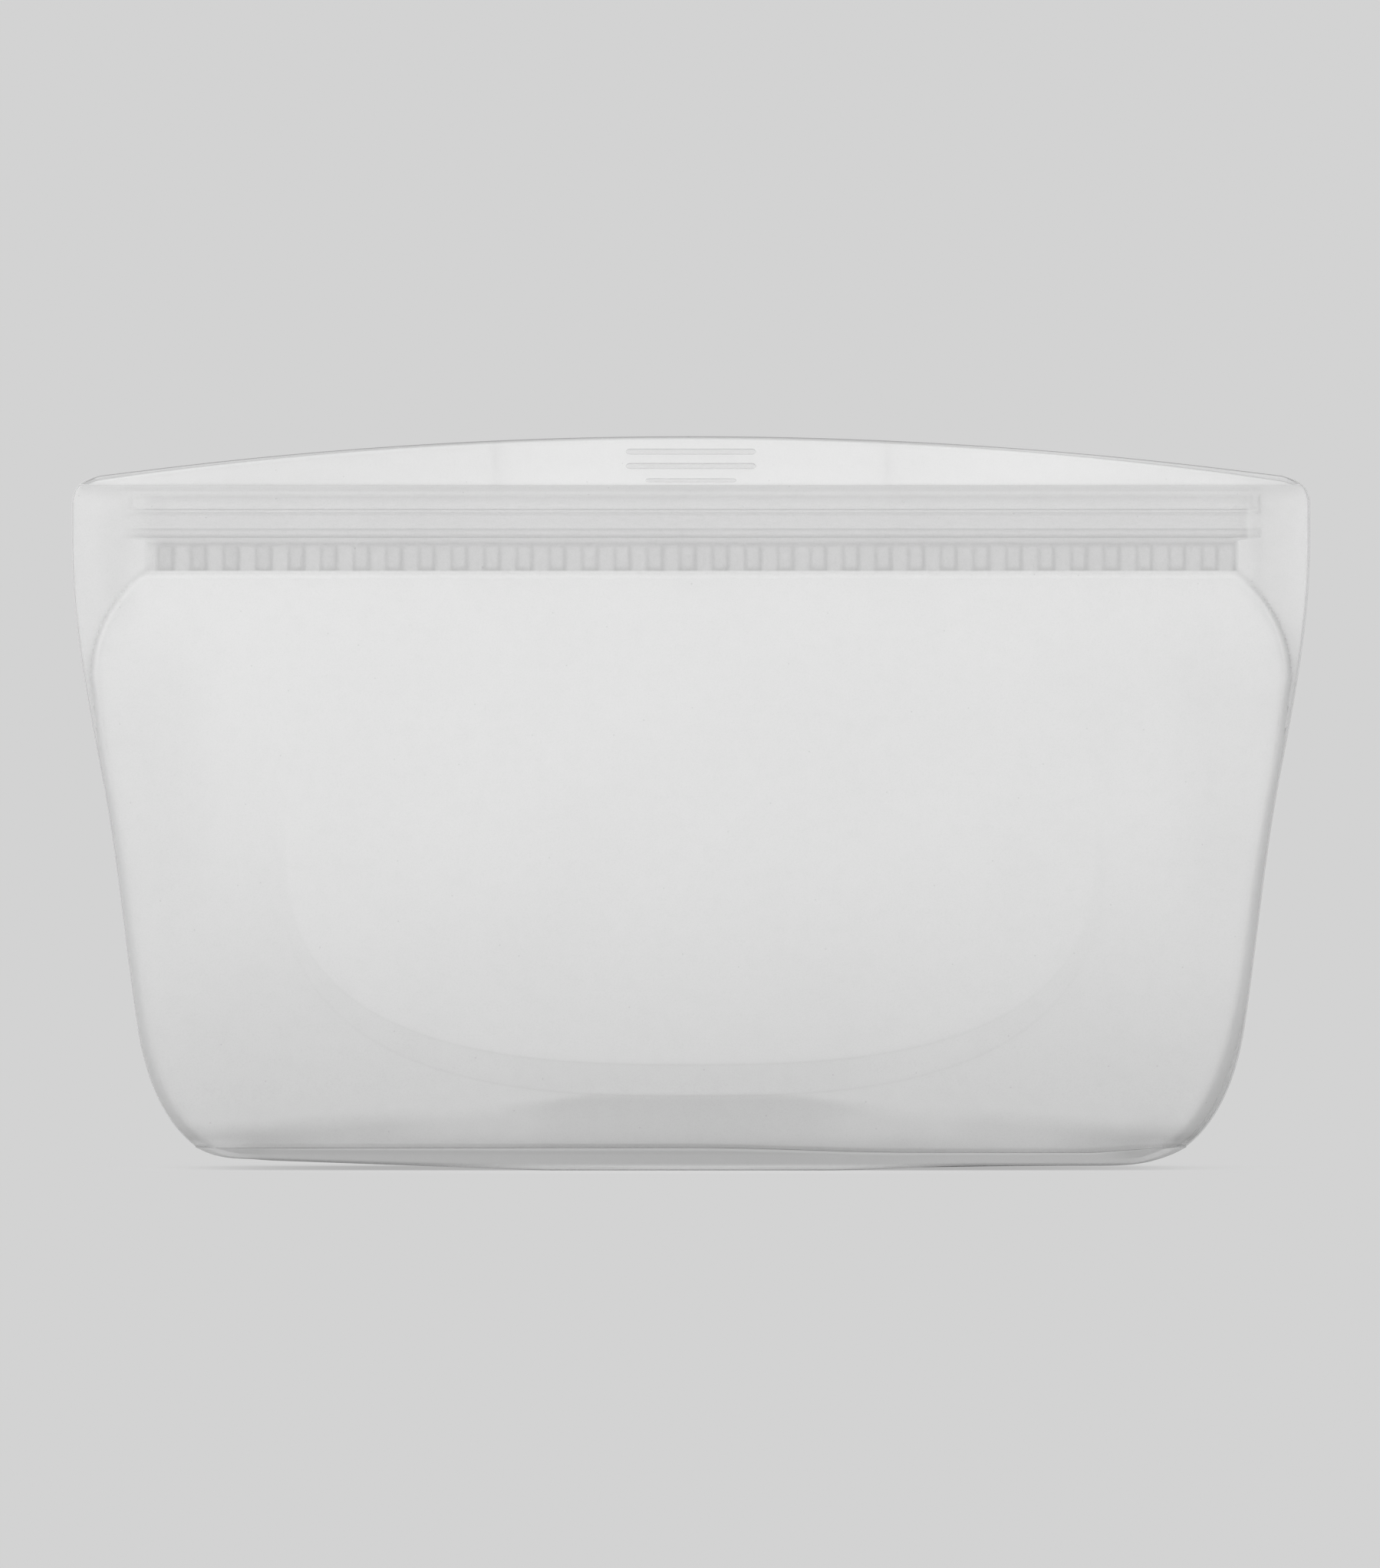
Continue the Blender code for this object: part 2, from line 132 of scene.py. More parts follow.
class BagSizes(bpy.types.PropertyGroup):
    """Sizes of the bag. Those that the frame holds are read from it."""

    width: length_property("Width", "Across both side seams", high_of("right_side_seam", 0) * 2)
    height: length_property("Height", "From the table to the top of the arched lip", FRAME_BOUNDS[1][2])
    top_rise: length_property("Top rise", "How far the lip's arch rises above its ends", 0.0067)
    corner_radius: length_property("Corner radius", "Round of the two top corners", 0.0042)
    full_width_height: length_property("Full width height", "Where the sides become upright", 0.0960)
    waist_width: length_property("Waist width", "Width part of the way up the slanting sides", 0.1807)
    waist_height: length_property("Waist height", "Height of the waist", 0.0600)
    waist_slope: factor_property("Waist slope", "Outward run of a side for its rise at the waist", 0.19)
    heel_width: length_property("Heel width", "Width where the bottom corners end", 0.1700)
    heel_height: length_property("Heel height", "Height of the rounded bottom corners", 0.0220)
    heel_slope: factor_property("Heel slope", "Outward run of a side for its rise at the heel", 0.15)
    heel_fullness: factor_property("Heel fullness", "Roundness of the bottom corners, from 0 to 1", 0.60)
    base_length: length_property("Base length", "Flat length that stands on the table", 0.1300)
    shoulder_radius: length_property("Shoulder radius", "Round of the pouch's two upper corners", 0.0204)
    shoulder_drop: length_property("Shoulder drop", "How far the shoulders start below the zip", 0.0161)
    shoulder_inset: length_property("Shoulder inset", "Flat strip beside a shoulder's start", 0.0008)
    seam_strip: length_property("Seam strip", "Flat strip outside the pouch low on the right", 0.0010)
    base_depth: length_property("Base depth", "Front to back at the base", high_of("base_panel", 1) * 2)
    belly_depth: length_property("Belly depth", "Front to back at its fullest", high_of("back_wall", 1) * 2)
    pouch_top_depth: length_property("Pouch top depth", "Front to back just below the zip", 0.0054)
    tuck: factor_property("Tuck", "How far the wall runs inwards for each unit below the belly", 0.34)
    belly_height: length_property("Belly height", "Height of the fullest line at the middle", 0.0115)
    belly_drop: length_property("Belly drop", "How far the fullest line falls beside the hump", 0.0026)
    belly_end_height: length_property("Belly end height", "Height of the fullest line at the ends", 0.0058)
    taper_power: factor_property("Taper power", "How late the pouch thins towards the zip", 1.6)
    roll: factor_property("Roll", "Width of the pouch's rounded edge for its depth", 0.24)
    wall: length_property("Wall", "Thickness of the silicone sheet", 0.0012)
    rim_radius: length_property("Rim radius", "Round of the base's rim, underneath", 0.0008)
    rim_wall: length_property("Rim wall", "Thickness of the base's rim", 0.0024)
    left_lift: length_property("Left lift", "How far the base's left end rises off the table", 0.0016)
    right_lift: length_property("Right lift", "How far the base's right end rises off the table", 0.0007)
    crease_drop: length_property("Crease drop", "Fall of the wall's lower edge on the right", 0.0007)
    base_thickness: length_property("Base thickness", "Thickness of the base's floor", 0.0016)
    seam_width: length_property("Seam width", "Bead that closes each side", 0.0003)
    lip_lean: length_property("Lip lean", "How far each lip leans inwards at its top", 0.0004)
    lip_thickness: length_property("Lip thickness", "Thickness of each lip", 0.0011)
    lip_step: length_property("Lip step", "How far the front lip ends below the back one", 0.0006)
    tooth_pitch: length_property("Tooth pitch", "From one tooth to the next", 0.0050)
    tooth_start: length_property("Tooth start", "Place of a front tooth across the zip", -0.0005)
    tooth_width: length_property("Tooth width", "Width of one tooth", 0.0028)
    tooth_height: length_property("Tooth height", "Height of one tooth", 0.0041)
    arch_step: length_property("Arch step", "Height of each of the two arches low on the walls", 0.00005)


class BagColours(bpy.types.PropertyGroup):
    """Colours of the bag's finishes, and how clear they are."""

    wall: colour_property("Wall", "Frosted sheet of the pouch", (0.86, 0.86, 0.86))
    lip: colour_property("Lip", "Clearer sheet above the zip", (0.888, 0.888, 0.888))
    base: colour_property("Base", "Thicker sheet of the base", (0.47, 0.47, 0.47))
    bead: colour_property("Bead", "Thin beads along both sides", (0.85, 0.85, 0.85))
    zip: colour_property("Zip", "Solid ribs, rails and teeth", (0.85, 0.85, 0.85))
    backdrop: colour_property("Backdrop", "Floor and background", (0.651, 0.651, 0.651))
    wall_cover: factor_property("Wall cover", "How much each face of the sheet hides", 0.50)


def sizes_of(context):
    """The scene's bag sizes."""
    return context.scene.silicone_bag_sizes


def colours_of(context):
    """The scene's bag colours."""
    return context.scene.silicone_bag_colours


class Wire:
    """A shader socket that takes Python arithmetic: each operation adds one Math node to its tree."""

    def __init__(self, tree, socket=None):
        self.tree = tree
        self.socket = socket

    def fill(self, target, value):
        """Links a wire to a socket, or sets the socket's own value."""
        if isinstance(value, Wire):
            self.tree.links.new(value.socket, target)
        else:
            target.default_value = value

    def node(self, kind, settings=None, sockets=None, output=0):
        """Adds a node of a type, applies its settings, fills its sockets, and gives one of its outputs."""
        node = self.tree.nodes.new(kind)
        for name, value in (settings or {}).items():
            setattr(node, name, value)
        for name, value in (sockets or {}).items():
            self.fill(node.inputs[name], value)
        return Wire(self.tree, node.outputs[output])

    def math(self, operation, *values):
        """One Math node."""
        return self.node("ShaderNodeMath", {"operation": operation}, dict(enumerate(values)))

    def __add__(self, other):
        return self.math("ADD", self, other)

    def __radd__(self, other):
        return self.math("ADD", other, self)

    def __sub__(self, other):
        return self.math("SUBTRACT", self, other)

    def __rsub__(self, other):
        return self.math("SUBTRACT", other, self)

    def __mul__(self, other):
        return self.math("MULTIPLY", self, other)

    def __rmul__(self, other):
        return self.math("MULTIPLY", other, self)

    def __truediv__(self, other):
        return self.math("DIVIDE", self, other)

    def __rtruediv__(self, other):
        return self.math("DIVIDE", other, self)

    def __pow__(self, other):
        return self.math("POWER", self, other)

    def __abs__(self):
        return self.math("ABSOLUTE", self)

    def at_least(self, other):
        """The larger of two values."""
        return self.math("MAXIMUM", self, other)

    def at_most(self, other):
        """The smaller of two values."""
        return self.math("MINIMUM", self, other)

    def step(self, low, high):
        """Smooth step from 0 at low to 1 at high."""
        sockets = {"Value": self, "From Min": low, "From Max": high}
        return self.node("ShaderNodeMapRange", {"interpolation_type": "SMOOTHSTEP"}, sockets)

    def fall(self, low, high):
        """Smooth step from 1 at low to 0 at high."""
        return 1 - self.step(low, high)

    def line(self, middle, width):
        """A soft line, 1 where the value is at middle and 0 from width away."""
        return abs(self - middle).fall(0.0, width)

    def blend(self, first, second):
        """Colour that goes from first to second as this wire goes from 0 to 1."""
        sockets = {"Factor": self, 6: first, 7: second}
        return self.node("ShaderNodeMix", {"data_type": "RGBA"}, sockets, output=2)


def smooth(value, low, high):
    """Smooth step of an array or a wire: 0 below low, 1 above high, and 3t^2 - 2t^3 between them."""
    if isinstance(value, Wire):
        return value.step(low, high)
    t = np.clip((value - low) / (high - low), 0.0, 1.0)
    return t * t * (3 - 2 * t)


def soft_max(a, b, radius):
    """The larger of two depths, with the line where they meet rounded off over a radius."""
    near = np.maximum(radius - np.abs(a - b), 0.0) / radius
    return np.maximum(a, b) + near**2 * radius / 4


def cubic(place, start, end, start_slope, end_slope):
    """Cubic from start to end, each a (place, value) pair, with the slopes given there."""
    span = end[0] - start[0]
    t = np.clip((place - start[0]) / span, 0.0, 1.0)
    rise = (2 * t**3 - 3 * t**2 + 1) * start[1] + (3 * t**2 - 2 * t**3) * end[1]
    lean = (t**3 - 2 * t**2 + t) * start_slope + (t**3 - t**2) * end_slope
    return rise + lean * span


def bezier(a, b, c, d, t):
    """One coordinate of a cubic Bezier curve."""
    s = 1 - t
    return a * s**3 + 3 * b * s**2 * t + 3 * c * s * t**2 + d * t**3


def crowded(count, share):
    """Numbers from -1 to 1 that crowd towards both ends: a mix of u and sin(pi u / 2)."""
    u = np.linspace(-1.0, 1.0, count)
    return (1 - share) * u + share * np.sin(np.pi * u / 2)


def around_section(count):
    """Angles, evenly spaced, once round a bar's section."""
    return np.linspace(0.0, 2 * np.pi, count, endpoint=False)


def arch_radius(sizes):
    """Radius of the circle that the top follows, which rises top_rise over the bag's width."""
    return (sizes.width**2 / 4 + sizes.top_rise**2) / (2 * sizes.top_rise)


def corner_centre(sizes):
    """Centre, as (x, z), of a top corner's round: a circle that touches the upright side and the top."""
    x = sizes.width / 2 - sizes.corner_radius
    radius = arch_radius(sizes)
    return x, sizes.height - radius + math.sqrt((radius - sizes.corner_radius) ** 2 - x**2)


def lip_edge(sizes, x):
    """Height of the lip's edge: the arched top, or the corner's round past where the two circles touch."""
    radius = arch_radius(sizes)
    corner_x, corner_z = corner_centre(sizes)
    past = np.clip(np.abs(x) - corner_x, 0.0, sizes.corner_radius)
    corner = corner_z + np.sqrt(sizes.corner_radius**2 - past**2)
    touch = corner_x * radius / (radius - sizes.corner_radius)
    return np.where(np.abs(x) > touch, corner, sizes.height - radius + np.sqrt(radius**2 - x**2))


def side_reach(sizes, z):
    """Half width at a height: a Bezier heel, two cubics up the side, upright, then round the top corner."""
    t = np.linspace(0.0, 1.0, 800)
    low_x = sizes.base_length / 2
    high_x = sizes.heel_width / 2
    fullness = sizes.heel_fullness
    bend_x = high_x - sizes.heel_slope * fullness * sizes.heel_height
    heel_x = bezier(low_x, low_x + fullness * (high_x - low_x), bend_x, high_x, t)
    heel_z = bezier(0.0, 0.0, sizes.heel_height * (1 - fullness), sizes.heel_height, t)
    heel = (sizes.heel_height, high_x)
    waist = (sizes.waist_height, sizes.waist_width / 2)
    full = (sizes.full_width_height, sizes.width / 2)
    lower = cubic(z, heel, waist, sizes.heel_slope, sizes.waist_slope)
    upper = cubic(z, waist, full, sizes.waist_slope, 0.0)
    corner_x, corner_z = corner_centre(sizes)
    rise = np.clip(z - corner_z, 0.0, sizes.corner_radius)
    corner = corner_x + np.sqrt(sizes.corner_radius**2 - rise**2)
    reach = np.where(z <= sizes.heel_height, np.interp(z, heel_z, heel_x), lower)
    reach = np.where(z > sizes.waist_height, upper, reach)
    return np.where(z > corner_z, corner, reach)


def skin_reach(sizes, z):
    """Half width of the sheets at a height, just inside the side beads."""
    return side_reach(sizes, z) - sizes.seam_width - HAIR


def pouch_top():
    """Height where the pouch ends and the zip's bands begin."""
    return high_of("front_wall", 2)


def skin_foot():
    """Height where the sheets and the side beads end, just below the walls' feet."""
    return low_of("front_wall", 2) - FOOT_OVERLAP


def lip_foot():
    """Height where the zip's bands end and the lips begin."""
    return high_of("front_zip_band", 2)


def shoulder_start(sizes):
    """Height where the pouch's slanting sides go over into its round shoulders."""
    return pouch_top() - sizes.shoulder_drop


def pouch_reach(sizes, x, z):
    """Half width of the pouch at a height: the sheet's, less a flat strip by the shoulders and low right."""
    start = shoulder_start(sizes)
    strip = np.where(x > 0, sizes.seam_strip, 0.0) * (1 - smooth(z, 0.010, 0.030))
    return skin_reach(sizes, z) - sizes.shoulder_inset * smooth(z, start - 0.016, start) - strip


def edge_distance(sizes, x, z):
    """Distance in from the pouch's outline: the slanting side, the circular shoulder or the straight top."""
    start = shoulder_start(sizes)
    radius = sizes.shoulder_radius
    nudge = 0.0002
    slope = (pouch_reach(sizes, x, z + nudge) - pouch_reach(sizes, x, z - nudge)) / (2 * nudge)
    side = (pouch_reach(sizes, x, z) - np.abs(x)) / np.sqrt(1 + slope**2)
    centre = pouch_reach(sizes, x, np.asarray(start)) - radius
    arc = radius - np.hypot(np.maximum(np.abs(x) - centre, 0.0), np.maximum(z - start, 0.0))
    return -soft_max(-np.where(z <= start, side, arc), z - pouch_top(), 0.0006)


def rolled(distance, width):
    """Share of full depth at a distance in from an edge: a quarter of a superellipse of power 2.5."""
    past = np.clip(1 - distance / width, 0.0, 1.0)
    return (1 - past**2.5) ** 0.4


def belly_line(sizes, x):
    """Height of the line that the wall tucks under, for an array or a wire.

    It is level over a hump at the middle, falls by a smooth step beside it, and by another to both ends.
    """
    across = abs(x)
    hump = sizes.belly_drop * smooth(across, *HUMP_SIDES)
    fall = sizes.belly_height - sizes.belly_drop - sizes.belly_end_height
    return sizes.belly_height - hump - fall * smooth(across, *BELLY_ENDS)


def pouch_depth(sizes, x, z):
    """Half depth of the pouch: a plane that leans out from the foot to the belly, then a taper to the zip."""
    belly = belly_line(sizes, x)
    above = np.clip((z - belly) / (pouch_top() - belly), 0.0, 1.0)
    fullest = sizes.belly_depth / 2
    top = sizes.pouch_top_depth / 2
    taper = top + (fullest - top) * (1 - above**sizes.taper_power)
    tucked = fullest - sizes.tuck * (belly - z)
    return -soft_max(-taper, -tucked, 0.0001 + 0.0004 * smooth(np.abs(x), *HUMP_SIDES))


def crease_fall(sizes, x):
    """How far the line between wall and base falls: a smooth bump on the right."""
    return sizes.crease_drop * smooth(x, 0.0, 0.034) * (1 - smooth(x, 0.060, 0.073))


def arch_distance(x, z, half, drop):
    """Distance in from one arch, |x/half|^p + |(z - crown)/drop|^p = 1, scaled by its drop."""
    hang = abs(ARCH_CROWN - z) / drop
    ring = ((abs(x) / half) ** ARCH_POWER + hang**ARCH_POWER) ** (1 / ARCH_POWER)
    return (1 - ring) * drop


def arch_relief(sizes, x, z):
    """Two shallow steps that follow the nested arches, and fade out upwards."""
    steps = sum(smooth(arch_distance(x, z, *arch), -0.0005, 0.0005) for arch in ARCHES)
    return sizes.arch_step * steps * (1 - smooth(z, 0.050, 0.076))


def skin_depth(sizes, x, z, inset, fin):
    """Depth of a sheet's face: the largest of the puffed pouch, the zip's band and the flat corner, blended.

    The pouch is its half depth with its edges rolled over. Inset is how far the face lies inside the outer
    one, and fin is the depth of the flat corner there.
    """
    depth = pouch_depth(sizes, x, z) - inset
    pouch = depth * rolled(edge_distance(sizes, x, z) - inset, sizes.roll * depth)
    band_half = high_of("back_zip_band", 0)
    band_rise = smooth(z, pouch_top() - 0.0120, pouch_top())
    fade = (-0.0045, 0.0065) if inset == 0 else (-0.0010, 0.0012)
    band_end = smooth(np.abs(x), band_half + fade[0], band_half + fade[1])
    band = fin + (high_of("back_zip_band", 1) - inset - fin) * band_rise * (1 - band_end)
    if inset == 0:
        band = band * rolled(skin_reach(sizes, z) - np.abs(x) + 0.00012, 0.0005)
    return soft_max(pouch, band, 0.0003)


def cosine_fall(value, low, high):
    """Half a cosine wave from 1 at low to 0 at high."""
    return 0.5 * (1 + np.cos(np.pi * np.clip((value - low) / (high - low), 0.0, 1.0)))


def open_share(sizes, x, z):
    """How far a point follows its opening wall: 1 in the middle, falling to 0 at the side seams."""
    return cosine_fall(np.abs(x) / skin_reach(sizes, z), *OPEN_FADE)


def peel_share(sizes, x, z):
    """How far a point follows its peeling tab: a fall across the tab times a step up from its hinge."""
    hinge = low_of("front_pull_tab", 2)
    across = cosine_fall(np.abs(x), TAB_MIDDLE, high_of("front_pull_tab", 0) - 0.0003)
    return across * smooth(z, hinge, hinge + TAB_BEND)


def loft_faces(rows, around, strip_ends):
    """Faces of a loft over rings of equal size: quads between rings, and ends closed by strips or fans."""
    index = np.arange(rows * around).reshape(rows, around)
    onward = np.roll(index, -1, axis=1)
    sides = np.stack([index[:-1], onward[:-1], onward[1:], index[1:]], axis=-1).reshape(-1, 4)
    faces = sides.tolist()
    if strip_ends:
        half = around // 2
        for ring, turn in ((index[0], 1), (index[-1], -1)):
            near = ring[:half]
            far = ring[half:][::-1]
            strip = np.stack([near[:-1], far[:-1], far[1:], near[1:]], axis=-1)
            faces += strip[:, ::turn].tolist()
        return faces
    for ring, hub, turn in ((index[0], rows * around, -1), (index[-1], rows * around + 1, 1)):
        fan = np.stack([ring, np.roll(ring, -1), np.full(around, hub)], axis=-1)
        faces += fan[:, ::turn].tolist()
    return faces


def signed_volume(points, faces):
    """Volume inside closed faces: the sum over triangles of a . (b x c) / 6, below 0 if they face inwards."""
    quads = np.array([face if len(face) == 4 else [*face, face[2]] for face in faces])
    a, b, c, d = (points[quads[:, i]] for i in range(4))
    parts = np.einsum("ij,ij->i", a, np.cross(b, c)) + np.einsum("ij,ij->i", a, np.cross(c, d))
    return parts.sum() / 6


def add_object(name, data):
    """Puts a mesh, a lamp or a camera into the scene."""
    thing = bpy.data.objects.new(name, data)
    bpy.context.scene.collection.objects.link(thing)
    return thing


def add_piece(name, rings, material, strip_ends=False, shade=None):
    """Makes a closed, smooth-shaded piece from rings of points, an array of (ring, point, xyz).

    Its faces are turned outwards. Finishes read each point's place at rest as the attribute rest_place, so
    that patterns follow a bent piece, and shade, a number from 0 to 1 for each point of the rings, as the
    attribute edge_shade.
    """
    rows, around, _ = rings.shape
    points = rings.reshape(-1, 3)
    faces = loft_faces(rows, around, strip_ends)
    if not strip_ends:
        points = np.concatenate([points, rings[:1].mean(axis=1), rings[-1:].mean(axis=1)])
    if signed_volume(points, faces) < 0:
        faces = [face[::-1] for face in faces]
    mesh = bpy.data.meshes.new(name)
    mesh.from_pydata(points.tolist(), [], faces)
    if mesh.validate():
        raise RuntimeError(f"{name} has a faulty face")
    mesh.materials.append(material)
    mesh.shade_smooth()
    mesh.set_sharp_from_angle(angle=CORNER_ANGLE)
    rest = mesh.attributes.new("rest_place", "FLOAT_VECTOR", "POINT")
    rest.data.foreach_set("vector", points.astype(np.float32).reshape(-1))
    if shade is not None:
        attribute = mesh.attributes.new("edge_shade", "FLOAT", "POINT")
        values = np.zeros(len(points), dtype=np.float32)
        values[: shade.size] = shade.reshape(-1)
        attribute.data.foreach_set("value", values)
    piece = add_object(name, mesh)
    return piece


def bend(piece, sizes, share):
    """Bakes a piece's transform into its mesh and works out a share at each of its points; the share is not
    kept.
    """
    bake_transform(piece)
    points = np.empty(len(piece.data.vertices) * 3, dtype=np.float32)
    piece.data.vertices.foreach_get("co", points)
    x, _, z = points.reshape(-1, 3).astype(float).T
    share(sizes, x, z).astype(np.float32)


def solid_colour(colour, share=1.0):
    """A colour as four numbers, scaled by a share."""
    return (colour[0] * share, colour[1] * share, colour[2] * share, 1.0)


def shaded(shade, colour, pale, dark):
    """Colour that goes from a pale to a dark share of a colour as shade goes from 0 to 1."""
    return shade.blend(solid_colour(colour, pale), solid_colour(colour, dark))


class Silicone:
    """A frosted silicone material under construction: its shader, its places at rest and its grain."""

    def __init__(self, name, roughness):
        self.material = bpy.data.materials.new(name)
        self.material.use_nodes = True
        tree = self.material.node_tree
        self.shader = tree.nodes["Principled BSDF"]
        self.shader.inputs["IOR"].default_value = 1.41
        self.root = Wire(tree)
        self.roughness = roughness
        self.place = self.root.node("ShaderNodeAttribute", {"attribute_name": "rest_place"}, output="Vector")
        self.x = self.root.node("ShaderNodeSeparateXYZ", sockets={0: self.place}, output="X")
        self.z = self.root.node("ShaderNodeSeparateXYZ", sockets={0: self.place}, output="Z")

    def cover(self, amount):
        """Sets how much each face hides, as a number or a wire."""
        self.root.fill(self.shader.inputs["Alpha"], amount)

    def edge_shade(self):
        """Shade that a piece's mesh carries along its edges."""
        return self.root.node("ShaderNodeAttribute", {"attribute_name": "edge_shade"}, output="Fac")

    def noise(self, scale, detail=2.0):
        """Noise of a scale, in cells for each metre."""
        sockets = {"Vector": self.place, "Scale": scale, "Detail": detail}
        return self.root.node("ShaderNodeTexNoise", sockets=sockets)

    def frost(self, amount):
        """Cloudy unevenness of frosted silicone at three scales."""
        coarse = (self.noise(38.0, 3.0) - 0.45).at_least(0.0)
        fine = (self.noise(420.0, 2.0) - 0.45).at_least(0.0)
        grain = (self.noise(5200.0, 1.0) - 0.45).at_least(0.0)
        return amount * (0.7 * coarse + 0.6 * fine + 1.7 * grain)

    def specks(self, scale, radius):
        """Sparse round dust marks: the inside of a small radius round the points of a Voronoi pattern."""
        flat = self.root.node("ShaderNodeCombineXYZ", sockets={"X": self.x, "Y": self.z})
        sockets = {"Vector": flat, "Scale": scale}
        reach = self.root.node("ShaderNodeTexVoronoi", {"voronoi_dimensions": "2D"}, sockets)
        return reach.fall(radius * scale * 0.4, radius * scale)

    def finish(self, colour, relief=None, grain=0.16):
        """Joins colour, cloudy roughness and fine grain of a strength to the shader."""
        root = self.root
        root.fill(self.shader.inputs["Base Color"], colour)
        root.fill(self.shader.inputs["Roughness"], self.roughness + 0.16 * (self.noise(320.0) - 0.5))
        height = 0.5 * self.noise(3600.0, 1.0) + 0.5 * self.noise(1500.0, 1.0)
        if relief is not None:
            height = height + relief
        sockets = {"Strength": grain, "Distance": 0.00010, "Height": height}
        root.fill(self.shader.inputs["Normal"], root.node("ShaderNodeBump", sockets=sockets))
        return self.material


def shoulder_crease_shade(sizes, made):
    """Painted shade: a soft dark line along the crease at the pouch's two shoulders, from the sides' upper
    ends round the two circles.
    """
    start = shoulder_start(sizes)
    below = 0.002
    low_reach, reach = pouch_reach(sizes, np.zeros(2), np.array([start - below, start]))
    slope = float((reach - low_reach) / below)
    past = (abs(made.x) - float(reach - sizes.shoulder_radius)).at_least(0.0)
    rise = made.z - start
    arc = (past**2.0 + rise.at_least(0.0) ** 2.0) ** 0.5
    distance = sizes.shoulder_radius - arc + slope * rise.at_most(0.0)
    return distance.line(0.0, 0.0009) * rise.step(-0.006, 0.002) * abs(made.x).step(0.0815, 0.0840)


def zip_window(made):
    """Part of a wall that the zip shows through: shorter beside the teeth, and hazy at the left."""
    across = abs(made.x)
    above_teeth = made.z.step(0.0961, 0.0967)
    tooth_end = high_of("front_tooth_strip", 0)
    reach = tooth_end + (high_of("front_zip_band", 0) - tooth_end) * above_teeth
    window = made.z.step(pouch_top() + 0.0002, pouch_top() + 0.0006) * made.z.fall(0.1027, 0.1036)
    window = window * (across - reach).fall(0.0, 0.0005) * made.x.step(-0.0880, -0.0805)
    window = window * (1 - (1 - above_teeth) * made.x.fall(-0.0850, -0.0805))
    channel = made.z.step(0.0978, 0.0984) * made.z.fall(0.1000, 0.1006)
    window = window * (1 - channel * made.x.step(0.0835, 0.0868))
    return window * (1 - 0.6 * made.x.step(0.0848, 0.0856) * made.x.fall(0.0868, 0.0872))


def wall_finish(sizes, colours):
    """Frosted sheet: clouds, grain, dust and thin lines on the arches, and a little paler inside the arches.

    Much of its shade is painted: darker towards the bottom, greyer outside the inner arch low down, under
    the belly's tuck, along the shoulders' creases, just below the lips, on the slanting sides, the corner
    webs and the right heel. Painted light makes it paler at the foot below the hump, at the left foot, on
    the hump's flanks and at the bottom tips. It is clearer over the zip, so that the ribs and teeth behind
    it show.
    """
    made = Silicone("frosted wall silicone", 0.50)
    x = made.x
    z = made.z
    across = abs(x)
    from_outer, from_inner = (arch_distance(x, z, *arch) for arch in ARCHES)
    outer, inner = (distance.step(-0.00015, 0.00015) for distance in (from_outer, from_inner))
    arch_lines = (from_outer.line(0.0, 0.0003) + from_inner.line(0.0, 0.0003)) * z.fall(0.020, 0.040)
    middle = across.fall(0.016, 0.034)
    # Painted shade: darker towards the bottom.
    low = z.fall(0.004, 0.056)
    limb = (0.030 - 0.016 * x.step(0.0, 0.030)) * z.fall(0.045, 0.074)
    # Greyer outside the inner arch; its band towards the bottom is painted shade.
    outside = (1 - inner) * (limb + low * (0.04 + 0.03 * middle))
    # Painted shade under the belly's tuck, stronger towards the ends and weaker right of the middle.
    softness = 1 + 1.6 * across.step(*HUMP_SIDES)
    tucked = ((z - belly_line(sizes, x)) / softness).fall(-0.0010, 0.0004)
    tuck = 0.05 + 0.17 * across.step(0.052, 0.070)
    tuck = tuck - 0.06 * x.step(0.028, 0.042) * x.fall(0.050, 0.064)
    # Painted light, taken off the shade: the foot below the hump, the left foot, the hump's flanks and the
    # bottom tips.
    hump_foot = z.fall(0.003, 0.014) * middle
    left_foot = z.fall(0.0037, 0.0044) * x.fall(-0.035, -0.015)
    far_left_foot = z.fall(0.0040, 0.0054) * x.fall(-0.070, -0.060)
    flanks = across.step(0.018, 0.027) * across.fall(0.036, 0.048)
    flanks = flanks * z.step(0.0035, 0.0060) * z.fall(0.0075, 0.0105)
    tips = z.fall(0.0036, 0.0046) * across.step(0.0660, 0.0745)
    # Painted shade on the right heel, a painted shadow just below the lips, and painted shade on the slanting
    # sides and the corner webs.
    right_heel = x.step(0.0650, 0.0700) * x.fall(0.0735, 0.0765) * z.fall(0.0050, 0.0105)
    lip_shadow = z.step(0.1037, 0.1041) * across.fall(0.084, 0.090)
    slants = across.step(0.070, 0.080) * z.fall(0.070, 0.090) * z.step(0.030, 0.050)
    webs = z.step(0.080, 0.094) * across.step(0.083, 0.089)
    webs = webs * (1 - 0.6 * across.step(0.0885, 0.0925)) * (1 - 0.6 * z.step(0.099, 0.103))
    shade = 0.12 * low + outside + tuck * tucked + 0.13 * shoulder_crease_shade(sizes, made) + 0.04 * arch_lines
    shade = shade - 0.14 * hump_foot - 0.10 * left_foot - 0.06 * far_left_foot - 0.10 * flanks
    shade = shade - 0.35 * tips + 0.08 * right_heel + 0.07 * lip_shadow + 0.05 * slants
    shade = shade + (0.12 - 0.10 * x.step(-0.01, 0.01)) * webs
    shade = shade + made.frost(0.14) + 0.25 * made.specks(75.0, 0.00016)
    made.cover(colours.wall_cover - 0.20 * zip_window(made) - 0.20 * tips)
    return made.finish(shaded(shade, colours.wall, 1.0, 0.4), 0.6 * outer + 0.6 * inner)


